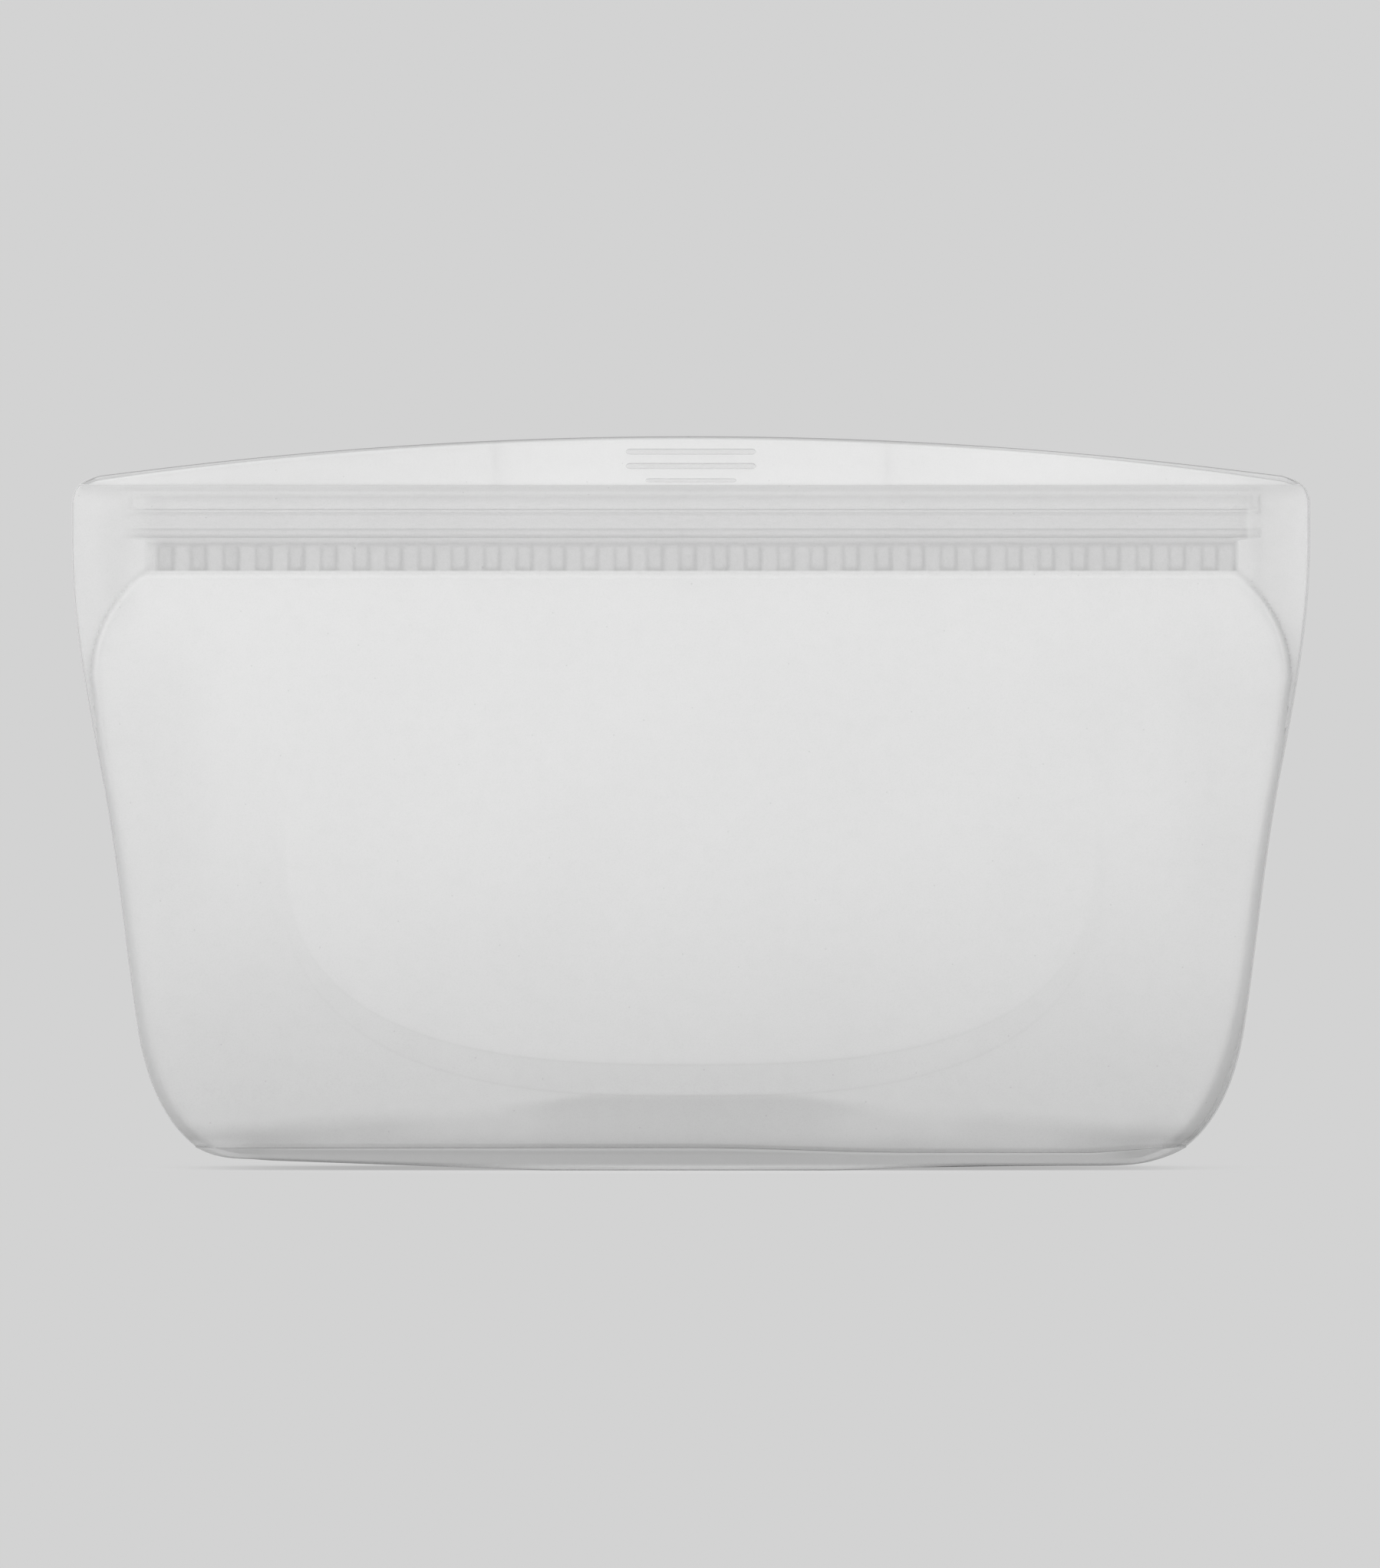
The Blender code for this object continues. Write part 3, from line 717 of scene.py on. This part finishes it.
def lip_finish(colours):
    """Clear sheet of the lips: faint clouds and dust, with painted shade along its edge, at its foot, towards
    its top and towards both ends.
    """
    made = Silicone("clear lip silicone", 0.46)
    made.cover(0.62)
    foot = lip_foot()
    shade = made.frost(0.08) + 0.2 * made.specks(90.0, 0.00014) + 0.70 * made.edge_shade()
    # Painted shade: a band at the lip's foot, and darker towards its top to even out how the lamp lights it.
    shade = shade + 0.10 * made.z.fall(foot, foot + 0.0005) + 0.09 * made.z.step(foot, foot + 0.007)
    # Painted shade towards the left and right ends.
    shade = shade + 0.157 * made.x.fall(-0.080, -0.010) + 0.12 * made.x.step(0.050, 0.090)
    return made.finish(shaded(shade, colours.lip, 1.0, 0.3))


def bead_finish(colours):
    """Clear silicone of the thin side beads."""
    made = Silicone("edge bead silicone", 0.48)
    made.cover(0.35)
    return made.finish(shaded(made.frost(0.3), colours.bead, 1.0, 0.5))


def rib_finish(colours):
    """Finger ribs: clear silicone, with a line of painted shade where each long edge meets the lip."""
    made = Silicone("finger rib silicone", 0.46)
    edge = made.edge_shade()
    made.cover((0.14 + 0.36 * edge).at_most(1.0))
    return made.finish(shaded(made.frost(0.10) + 0.60 * edge, colours.lip, 0.86, 0.4))


def base_finish(colours):
    """Thick sheet of the base: scuffs near the line that it stands on, painted shade along the top of its rim,
    and painted light that makes it paler along that line, at its ends and on the right.
    """
    made = Silicone("thick base silicone", 0.52)
    across = abs(made.x)
    thin = across.step(0.062, 0.074)
    made.cover(0.85 - 0.45 * thin)
    scuffs = made.noise(900.0, 3.0).step(0.52, 0.72) * made.z.fall(0.0003, 0.0016)
    # Painted shade along the rim's top, in the crease under the wall, fading out towards the ends.
    crease = made.z.step(0.0022, 0.0028) * across.fall(0.058, 0.072)
    shade = 0.20 * scuffs + made.frost(0.12) + 0.16 * crease
    # Painted light: paler along the foot, at the ends and on the right.
    painted_light = (0.9 * made.z.fall(0.0001, 0.0012)).at_least(0.26 * thin)
    painted_light = painted_light.at_least(0.04 + 0.07 * made.x.step(0.015, 0.045))
    return made.finish(painted_light.blend(shaded(shade, colours.base, 1.0, 0.6), solid_colour(colours.wall)))


def zip_finish(name, colours, share, lines=()):
    """Solid zip profile with faint clouds, painted shade along lines, each (axis, place, width, depth), and
    painted light towards both ends.
    """
    made = Silicone(name, 0.60)
    shade = 0.10 * made.noise(70.0)
    for axis, place, width, depth in lines:
        shade = shade + depth * (made.z if axis == "z" else made.x).line(place, width)
    # Painted light: paler towards both ends, which sit in shade in the bag's corners.
    ends = 0.5 * abs(made.x).step(0.0845, 0.0868)
    colour = ends.blend(shaded(shade, colours.zip, share, 0.35 * share), solid_colour(colours.zip, 1.1))
    return made.finish(colour, grain=0.03)


def tooth_finish(sizes, colours, shift):
    """Teeth: painted shade as a soft dark line round each rounded square and a darker bar above, duller to the
    left and paler to the right.
    """
    made = Silicone("zip tooth silicone", 0.60)
    top = low_of("front_tooth_strip", 2) + sizes.tooth_height
    middle = (low_of("front_tooth_strip", 2) - 0.0006 + top) / 2
    across = made.root.math("PINGPONG", abs(made.x - shift), sizes.tooth_pitch / 2)
    side = (across - sizes.tooth_width / 2 + TOOTH_ROUND).at_least(0.0)
    rise = (abs(made.z - middle) - (top - middle) + TOOTH_ROUND).at_least(0.0)
    edge = (side**2.0 + rise**2.0) ** 0.5 - TOOTH_ROUND
    bar = made.z.step(top - 0.0004, top + 0.0002)
    # The outline and the bar are painted shade at the teeth's edges and in the groove above them.
    outline = edge.line(-0.0003, 0.0007) * (1 - bar)
    inside = edge.fall(-0.0003, 0.0001)
    left = made.x.fall(-0.070, -0.040)
    right = made.x.step(0.050, 0.078)
    shade = (0.46 - 0.04 * left) * outline + (0.02 + 0.20 * left) * inside
    shade = shade + 0.14 * bar + 0.20 * made.noise(90.0) - 0.06 * right * (1 - bar)
    return made.finish(shaded(shade, colours.zip, 0.77, 0.27), grain=0.03)


def sheet_rings(x, z, side, outer, inner):
    """Rings of a sheet on one side of the bag: across its outer face, then back over its inner face."""
    faces = [np.stack([x, side * depth, z], axis=-1) for depth in (outer, inner)]
    return np.concatenate([faces[0], faces[1][:, ::-1]], axis=1)


def skin_rings(sizes, side):
    """Rings of one wall's sheet, bottom to top, closest together low down and at the shoulders."""
    low = skin_foot()
    marks = (low, 0.020, 0.072, 0.0925, lip_foot())
    counts = (50, 46, 76, 15)
    rows = [np.linspace(*span, endpoint=False) for span in zip(marks[:-1], marks[1:], counts)]
    heights = np.concatenate([*rows, marks[-1:]])
    z, across = np.meshgrid(heights, crowded(251, 0.72), indexing="ij")
    x = across * skin_reach(sizes, z)
    z = z - crease_fall(sizes, x) * (1 - smooth(z, low, low + 0.0055))
    outer = skin_depth(sizes, x, z, 0.0, high_of("left_corner_web", 1)) + arch_relief(sizes, x, z)
    return sheet_rings(x, z, side, outer, skin_depth(sizes, x, z, sizes.wall, SLIT))


def tray_ring(sizes, across, z, reach, depth):
    """Ring round the base at a height: a slot in plan whose ends are rolled over, in front, then behind.

    Its foot is lifted towards both ends, along a ramp on the left and a smooth step on the right, and its
    top falls with the crease.
    """
    x = reach * across
    y = depth * rolled(reach - np.abs(x), sizes.roll * sizes.base_depth / 2)
    ramp = np.clip((-x - 0.022) / 0.045, 0.0, 1.0) * (1 - 0.4 * smooth(-x, 0.066, 0.075))
    lift = sizes.left_lift * ramp + sizes.right_lift * smooth(x, 0.020, 0.045)
    share = z / high_of("base_panel", 2)
    front = np.stack([x, -y, z + lift * (1 - share) - crease_fall(sizes, x) * share], axis=-1)
    back = front * np.array([1.0, -1.0, 1.0])
    return np.concatenate([front, back[-2:0:-1]])


def rim_ring(sizes, across, turn, upper):
    """Ring at a turn of the rim's lower or upper round, a quarter circle; the upper shrinks at both ends."""
    top = high_of("base_panel", 2)
    size = 0.6 - 0.5 * smooth(np.abs(across), 0.76, 0.93) if upper else np.ones_like(across)
    radius = sizes.rim_radius * size
    drop = radius * (1 - np.cos(turn))
    z = top - drop if upper else drop
    depth = sizes.base_depth / 2 - radius * (1 - np.sin(turn))
    return tray_ring(sizes, across, z, float(side_reach(sizes, z[-1])), depth)


def tray_rings(sizes):
    """Rings of the base: out under it, round the rim, in over its top and down to the floor inside.

    Between the rim's two rounds the rings follow the bag's own outline, so that the base's ends are round.
    """
    across = crowded(161, 0.85)
    top = high_of("base_panel", 2)
    turns = np.linspace(0.0, np.pi / 2, 9)
    half = sizes.base_depth / 2
    radius = sizes.rim_radius
    rings = []
    for share in (0.15, 0.6):
        rings.append(tray_ring(sizes, across, 0.0, share * sizes.base_length / 2, share * (half - radius)))
    rings += [rim_ring(sizes, across, turn, False) for turn in turns]
    for z in np.linspace(radius, top - 0.6 * radius, 8)[1:-1]:
        rings.append(tray_ring(sizes, across, z, float(side_reach(sizes, z)), half))
    rings += [rim_ring(sizes, across, turn, True) for turn in turns[::-1]]
    depth = half - sizes.rim_wall
    for drop, inset in ((0.0, 0.0), (0.5, 0.0), (1.0, 0.0), (1.0, 0.5), (1.0, 0.85)):
        z = top + (sizes.base_thickness - top) * drop
        inner = float(side_reach(sizes, np.asarray(z))) - sizes.rim_wall * (1 + 0.5 * drop)
        rings.append(tray_ring(sizes, across, z, inner * (1 - inset), depth * (1 - inset)))
    return np.stack(rings)


def bead_rings(sizes, hand):
    """Rings of a side bead: an ellipse carried up the side's outline and round the corner, thinning there."""
    corner_x, corner_z = corner_centre(sizes)
    low = skin_foot()
    rise = np.linspace(0.0, 1.0, 150)
    z = low + (corner_z - low) * (0.6 * rise + 0.4 * (1 - np.cos(np.pi * rise / 2)))
    turn = np.linspace(0.05, math.radians(80), 24)
    half = sizes.seam_width / 2
    half_depth = 0.00088
    arc = sizes.corner_radius - half
    x = np.concatenate([side_reach(sizes, z) - half, corner_x + arc * np.cos(turn)])
    z = np.concatenate([z, corner_z + arc * np.sin(turn)])
    along = np.stack([np.gradient(x), np.gradient(z)], axis=-1)
    along /= np.linalg.norm(along, axis=1, keepdims=True)
    size = np.concatenate([np.ones_like(rise), 1 - 0.75 * smooth(turn, 0.6, turn[-1])])[:, None]
    angle = around_section(18)
    out = half * np.cos(angle) * size
    ring_x = x[:, None] + out * along[:, 1:]
    ring_z = z[:, None] - out * along[:, :1]
    return np.stack([hand * ring_x, half_depth * np.sin(angle) * size, ring_z], axis=-1)


def end_size(x, end_round, least):
    """Size of a bar's section along it: from a least share at both ends, up a quarter circle."""
    inside = np.clip(np.minimum(x - x[0], x[-1] - x) / end_round, 0.0, 1.0)
    return (least + (1 - least) * np.sqrt(1 - (1 - inside) ** 2))[:, None]


def bar_rings(low, high, count):
    """Rings of a bar along X that fills a box: a superellipse of power 9, drawn in to round both ends."""
    middle = (np.array(low) + np.array(high)) / 2
    half = (np.array(high) - np.array(low)) / 2
    x = middle[0] + half[0] * crowded(count, 0.9)
    size = end_size(x, 0.0004, 0.35)
    angle = around_section(28)
    y, z = (np.sign(wave) * np.abs(wave) ** (2 / 9) for wave in (np.cos(angle), np.sin(angle)))
    ring_y = middle[1] + half[1] * size * y
    ring_z = middle[2] + half[2] * size * z
    return np.stack([np.broadcast_to(x[:, None], ring_y.shape), ring_y, ring_z], axis=-1)


def tooth_shift(sizes, side):
    """Place across of one tooth of a strip: the back strip's teeth stand between the front strip's."""
    return sizes.tooth_start + (sizes.tooth_pitch / 2 if side == BACK else 0.0)


def tooth_rings(sizes, side):
    """Rings of a tooth strip along X: a thin web that stands out by a rounded-square mask at each tooth."""
    low, high = BOXES[f"{SIDE_NAMES[side]}_tooth_strip"]
    top = low[2] + sizes.tooth_height
    crest = low_of("front_zip_lower_rib", 2) - SLIT
    web = 0.0003
    x, z = np.meshgrid(np.linspace(low[0], high[0], 668), np.linspace(low[2], crest, 26), indexing="ij")
    pitch = sizes.tooth_pitch
    across = np.abs((x - tooth_shift(sizes, side) + pitch / 2) % pitch - pitch / 2)
    past = np.maximum(across - sizes.tooth_width / 2 + TOOTH_ROUND, 0.0)
    above = np.maximum(np.abs(z - (low[2] + top) / 2) - (top - low[2]) / 2 + TOOTH_ROUND, 0.0)
    edge = np.hypot(past, above) - TOOTH_ROUND
    mask = np.maximum(1 - smooth(edge, -0.0006, 0.0002), smooth(z, top - 0.0003, top + 0.0003))
    near, far = sorted((abs(low[1]), abs(high[1])))
    return sheet_rings(x, z, side, near + web + (far - near - web) * mask, np.full_like(x, near))


def lip_depth(sizes, x, share):
    """Outer depth of a lip at a share of its height: the band's depth at its foot, leaning inwards above."""
    top = lip_foot()
    foot = skin_depth(sizes, x, np.full_like(x, top), 0.0, high_of("left_corner_web", 1))
    tall = (lip_edge(sizes, x) - top) / (sizes.height - top)
    return foot - sizes.lip_lean * tall * share


def lip_rings(sizes, side, start, end, count):
    """Rings of a stretch of lip along X, and a shade for each point.

    A ring goes up the outer face, over an edge rounded as half an ellipse, and down the inner face. The
    shade is a bell curve of the distance below the edge, with a wider and fainter one added.
    """
    x = np.linspace(start, end, count)
    foot = lip_foot() + HAIR
    step = sizes.lip_step * (0.5 + 0.5 * (x / 0.08) ** 2) * (1 + 1.6 * x) if side == FRONT else 0.0
    corner = sizes.seam_width * smooth(np.abs(x), 0.0905, 0.0925)
    crest = np.maximum(lip_edge(sizes, x) - step - corner, foot + 0.00025)
    rise = np.linspace(0.0, 1.0, 15)
    turn = np.linspace(0.0, np.pi, 10)[1:-1]
    x = x[:, None]
    tall = (crest - foot)[:, None]
    edge_depth = lip_depth(sizes, x, 1.0)
    thick = np.minimum(sizes.lip_thickness, edge_depth - 0.00004)
    round_up = np.minimum(0.00045, 0.4 * tall)
    share = (1 - round_up / tall) * rise
    outer_y = lip_depth(sizes, x, share)
    edge_y = edge_depth - thick / 2 + thick / 2 * np.cos(turn)
    edge_z = foot + tall - round_up + round_up * np.sin(turn)
    y = np.concatenate([outer_y, edge_y, (outer_y - thick)[:, ::-1]], axis=1)
    face_z = foot + tall * share
    z = np.concatenate([face_z, edge_z, face_z[:, ::-1]], axis=1)
    rings = np.stack([np.broadcast_to(x, y.shape), side * y, z], axis=-1)
    down = np.maximum(crest[:, None] - z, 0.0)
    width = 0.00017 + 0.00012 * (1 - smooth(np.abs(x), 0.02, 0.06))
    line = np.exp(-((down / width) ** 2)) + 0.12 * np.exp(-((down / 0.0006) ** 2))
    strength = 0.55 if side == FRONT else 1.0
    return rings, strength * line * (1 - smooth(np.abs(x), 0.0920, 0.0935))


def grip_rings(sizes, side, low, high):
    """Rings of a finger rib along X, and a shade for each point.

    A ring is half an ellipse that stands on the lip's face, closed by three points on that face. The shade
    is a bell curve of the angle from each long edge, stronger at the upper one.
    """
    x = np.linspace(low[0], high[0], 70)
    size = end_size(x, 0.0008, 0.15)
    angle = np.linspace(0.0, np.pi, 13)
    up = np.concatenate([np.cos(angle), [-0.6, 0.0, 0.6]])
    out = np.concatenate([np.sin(angle), np.zeros(3)])
    z = (low[2] + high[2]) / 2 + (high[2] - low[2]) / 2 * size * up
    x = np.broadcast_to(x[:, None], z.shape)
    share = (z - lip_foot()) / (lip_edge(sizes, x) - lip_foot())
    y = lip_depth(sizes, x, share) + HAIR + 0.00002 * size * out
    line = np.exp(-((angle / 0.7) ** 2)) + 0.45 * np.exp(-(((np.pi - angle) / 0.7) ** 2))
    shade = np.broadcast_to(np.concatenate([line, np.zeros(3)]), z.shape)
    return np.stack([x, side * y, z], axis=-1), shade


class SILICONE_BAG_OT_skins(bpy.types.Operator):
    """Build the front and back sheets: pouch walls, zip bands and fused corners"""

    bl_idname = "silicone_bag.skins"
    bl_label = "Walls"

    def execute(self, context):
        sizes = sizes_of(context)
        finish = wall_finish(sizes, colours_of(context))
        for side, name in SIDE_NAMES.items():
            rings = skin_rings(sizes, side)
            piece = add_piece(f"{name}_skin", rings, finish, strip_ends=True)
            bend(piece, sizes, open_share)
            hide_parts(f"{name}_wall", f"{name}_zip_band", "left_corner_web", "right_corner_web")
        return {"FINISHED"}


class SILICONE_BAG_OT_base(bpy.types.Operator):
    """Build the boat-shaped base with its rounded rim"""

    bl_idname = "silicone_bag.base"
    bl_label = "Base"

    def execute(self, context):
        finish = base_finish(colours_of(context))
        piece = add_piece("base_tray", tray_rings(sizes_of(context)), finish)
        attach(piece, "base")
        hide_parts("base_panel")
        return {"FINISHED"}


class SILICONE_BAG_OT_beads(bpy.types.Operator):
    """Build the thin beads that close both sides"""

    bl_idname = "silicone_bag.beads"
    bl_label = "Side beads"

    def execute(self, context):
        sizes = sizes_of(context)
        finish = bead_finish(colours_of(context))
        for hand, name in HAND_NAMES.items():
            piece = add_piece(f"{name}_edge_bead", bead_rings(sizes, hand), finish)
            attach(piece, "base")
            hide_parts(f"{name}_side_seam")
        return {"FINISHED"}


class SILICONE_BAG_OT_zip(bpy.types.Operator):
    """Build the zip's ribs, rails and end stops"""

    bl_idname = "silicone_bag.zip"
    bl_label = "Zip ribs and rails"

    def execute(self, context):
        sizes = sizes_of(context)
        colours = colours_of(context)
        # Painted shade lines along the bead rib's two edges, across the low rail and at the right end stop's
        # outer end.
        bead_edges = (
            ("z", high_of("front_zip_lower_rib", 2) - 0.0001, 0.0005, 0.50),
            ("z", low_of("front_zip_lower_rib", 2) + 0.0002, 0.0004, 0.45),
        )
        low_line = ("z", high_of("back_zip_lower_rail", 2) - 0.0005, 0.0004, 0.60)
        end_line = ("x", high_of("right_zip_end_stop", 0) - 0.0001, 0.0002, 0.40)
        # Each share is a lighter or darker copy of the zip colour; the top rail's and end stops' lighter
        # copies are painted light, as they sit in shade inside the bag.
        press_rib = zip_finish("press rib silicone", colours, 0.95)
        bead_rib = zip_finish("bead rib silicone", colours, 0.74, bead_edges)
        top_rail = zip_finish("top rail silicone", colours, 1.03)
        low_rail = zip_finish("low rail silicone", colours, 1.05, (low_line,))
        stop = zip_finish("end stop silicone", colours, 1.02, (end_line,))
        profiles = {
            "front_zip_upper_rib": (FRONT, "front_press_rib", press_rib),
            "front_zip_lower_rib": (FRONT, "front_bead_rib", bead_rib),
            "back_zip_upper_rail": (BACK, "back_top_rail", top_rail),
            "back_zip_lower_rail": (BACK, "back_lower_rail", low_rail),
            "left_zip_end_stop": (BACK, "left_end_stop", stop),
            "right_zip_end_stop": (BACK, "right_end_stop", stop),
        }
        for node, (side, name, finish) in profiles.items():
            low, high = (list(corner) for corner in BOXES[node])
            if node == "front_zip_upper_rib":
                low[2] = high_of("back_zip_lower_rail", 2) + SLIT
                high[2] = low_of("back_zip_upper_rail", 2) - SLIT
            count = 14 if "stop" in node else 190
            piece = add_piece(name, bar_rings(low, high, count), finish)
            bend(piece, sizes, open_share)
            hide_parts(node)
        return {"FINISHED"}


class SILICONE_BAG_OT_teeth(bpy.types.Operator):
    """Build the two strips of square teeth below the zip"""

    bl_idname = "silicone_bag.teeth"
    bl_label = "Tooth strips"

    def execute(self, context):
        sizes = sizes_of(context)
        for side, name in SIDE_NAMES.items():
            finish = tooth_finish(sizes, colours_of(context), tooth_shift(sizes, side))
            rings = tooth_rings(sizes, side)
            piece = add_piece(f"{name}_teeth", rings, finish, strip_ends=True)
            bend(piece, sizes, open_share)
            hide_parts(f"{name}_tooth_strip")
        return {"FINISHED"}


class SILICONE_BAG_OT_lips(bpy.types.Operator):
    """Build the lips above the zip: two wings and a pull tab on each side"""

    bl_idname = "silicone_bag.lips"
    bl_label = "Lips and pull tabs"

    def execute(self, context):
        sizes = sizes_of(context)
        finish = lip_finish(colours_of(context))
        tab = high_of("front_pull_tab", 0)
        end = sizes.width / 2 - 0.0013
        for side, name in SIDE_NAMES.items():
            for hand, hand_name in HAND_NAMES.items():
                rings, shade = lip_rings(sizes, side, hand * tab, hand * end, 130)
                piece = add_piece(f"{name}_{hand_name}_wing", rings, finish, True, shade)
                bend(piece, sizes, open_share)
                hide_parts(f"{name}_lip_{hand_name}")
            rings, shade = lip_rings(sizes, side, -tab, tab, 150)
            piece = add_piece(f"{name}_tab", rings, finish, True, shade)
            bend(piece, sizes, peel_share)
            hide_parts(f"{name}_pull_tab")
        return {"FINISHED"}


class SILICONE_BAG_OT_grips(bpy.types.Operator):
    """Build the finger ribs on both pull tabs"""

    bl_idname = "silicone_bag.grips"
    bl_label = "Finger ribs"

    def execute(self, context):
        sizes = sizes_of(context)
        finish = rib_finish(colours_of(context))
        for side, name in SIDE_NAMES.items():
            for number in (1, 2, 3):
                node = f"{name}_grip_rib_{number}"
                rings, shade = grip_rings(sizes, side, *BOXES[node])
                piece = add_piece(f"{name}_finger_rib_{number}", rings, finish, shade=shade)
                bend(piece, sizes, peel_share)
                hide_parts(node)
        return {"FINISHED"}


def backdrop_world(colours):
    """World that lights the bag evenly, and shows the backdrop's colour to the camera and in reflections."""
    world = bpy.data.worlds.new("studio surround")
    world.use_nodes = True
    tree = world.node_tree
    root = Wire(tree)
    seen = root.node("ShaderNodeLightPath", output="Is Camera Ray")
    seen = seen.at_least(root.node("ShaderNodeLightPath", output="Is Glossy Ray"))
    seen = seen.at_least(root.node("ShaderNodeLightPath", output="Is Transmission Ray"))
    colour = seen.blend((0.62, 0.62, 0.62, 1.0), solid_colour(colours.backdrop))
    root.fill(tree.nodes["Background"].inputs["Color"], colour)
    bpy.context.scene.world = world


def floor_finish(colours):
    """Matte floor that takes the bag's shadow near it and fades to the backdrop's colour further out."""
    material = bpy.data.materials.new("pale floor")
    material.use_nodes = True
    tree = material.node_tree
    root = Wire(tree)
    shader = tree.nodes["Principled BSDF"]
    shader.inputs["Roughness"].default_value = 0.9
    shader.inputs["Specular IOR Level"].default_value = 0.0
    shader.inputs["Base Color"].default_value = (0.70, 0.70, 0.70, 1.0)
    place = root.node("ShaderNodeTexCoord", output="Object")
    shadow_halves = (0.075, 0.022, 1.0)
    near = root.node("ShaderNodeVectorMath", {"operation": "DIVIDE"}, {0: place, 1: shadow_halves})
    away = root.node("ShaderNodeVectorMath", {"operation": "LENGTH"}, {0: near}, output="Value")
    seen = root.node("ShaderNodeLightPath", output="Is Camera Ray")
    glow = root.node("ShaderNodeEmission", sockets={"Color": solid_colour(colours.backdrop)})
    fade = seen * (0.65 + 0.35 * away.step(0.6, 1.3))
    mixed = root.node("ShaderNodeMixShader", sockets={0: fade, 1: Wire(tree, shader.outputs[0]), 2: glow})
    root.fill(tree.nodes["Material Output"].inputs["Surface"], mixed)
    return material


def add_floor(colours):
    """Flat square grid that the bag stands on."""
    across = np.linspace(-1.5, 1.5, 13)
    x, y = np.meshgrid(across, across)
    points = np.stack([x, y, np.zeros_like(x)], axis=-1).reshape(-1, 3)
    index = np.arange(x.size).reshape(x.shape)
    corners = [index[:-1, :-1], index[:-1, 1:], index[1:, 1:], index[1:, :-1]]
    mesh = bpy.data.meshes.new("floor")
    mesh.from_pydata(points.tolist(), [], np.stack(corners, axis=-1).reshape(-1, 4).tolist())
    mesh.materials.append(floor_finish(colours))
    add_object("floor", mesh)


def add_soft_box():
    """Wide soft lamp above the front left."""
    lamp = bpy.data.lights.new("soft box", "AREA")
    lamp.shape = "RECTANGLE"
    lamp.size = 1.6
    lamp.size_y = 0.4
    lamp.energy = 4.85
    box = add_object("soft box", lamp)
    box.location = (-0.20, -0.40, 0.55)
    box.rotation_euler = (math.radians(42), 0.0, math.radians(-25))


def add_camera():
    """Long lens straight in front of the bag, at the height of its middle."""
    lens = bpy.data.cameras.new("camera")
    lens.lens = 239.5
    lens.sensor_width = 36.0
    camera = add_object("camera", lens)
    camera.location = (-0.00014, -1.6, 0.0589)
    camera.rotation_euler = (math.radians(90), 0.0, 0.0)
    bpy.context.scene.camera = camera


class SILICONE_BAG_OT_stage(bpy.types.Operator):
    """Build the floor, the surround, the soft box and the camera"""

    bl_idname = "silicone_bag.stage"
    bl_label = "Stage"

    def execute(self, context):
        context.scene.view_settings.view_transform = "Standard"
        colours = colours_of(context)
        backdrop_world(colours)
        add_floor(colours)
        add_soft_box()
        add_camera()
        return {"FINISHED"}


BUILDERS = (
    SILICONE_BAG_OT_stage,
    SILICONE_BAG_OT_skins,
    SILICONE_BAG_OT_base,
    SILICONE_BAG_OT_beads,
    SILICONE_BAG_OT_zip,
    SILICONE_BAG_OT_teeth,
    SILICONE_BAG_OT_lips,
    SILICONE_BAG_OT_grips,
)


class SILICONE_BAG_PT_panel(bpy.types.Panel):
    """Lists the bag's builders and its sizes and colours"""

    bl_idname = "SILICONE_BAG_PT_panel"
    bl_label = "Silicone bag"
    bl_space_type = "VIEW_3D"
    bl_region_type = "UI"
    bl_category = "Silicone bag"

    def draw(self, context):
        for builder in BUILDERS:
            self.layout.operator(builder.bl_idname)
        for group in (sizes_of(context), colours_of(context)):
            column = self.layout.column()
            for name in group.__annotations__:
                column.prop(group, name)


CLASSES = (BagSizes, BagColours, *BUILDERS, SILICONE_BAG_PT_panel)


def register():
    """Registers the classes and gives each scene its sizes and colours."""
    for cls in CLASSES:
        bpy.utils.register_class(cls)
    bpy.types.Scene.silicone_bag_sizes = bpy.props.PointerProperty(type=BagSizes)
    bpy.types.Scene.silicone_bag_colours = bpy.props.PointerProperty(type=BagColours)


def unregister():
    """Takes the classes and the scenes' sizes and colours away again."""
    del bpy.types.Scene.silicone_bag_colours
    del bpy.types.Scene.silicone_bag_sizes
    for cls in reversed(CLASSES):
        bpy.utils.unregister_class(cls)


def main():
    """Builds the stage and every piece."""
    register()
    for builder in BUILDERS:
        group, name = builder.bl_idname.split(".")
        getattr(getattr(bpy.ops, group), name)()


if __name__ == "__main__":
    main()
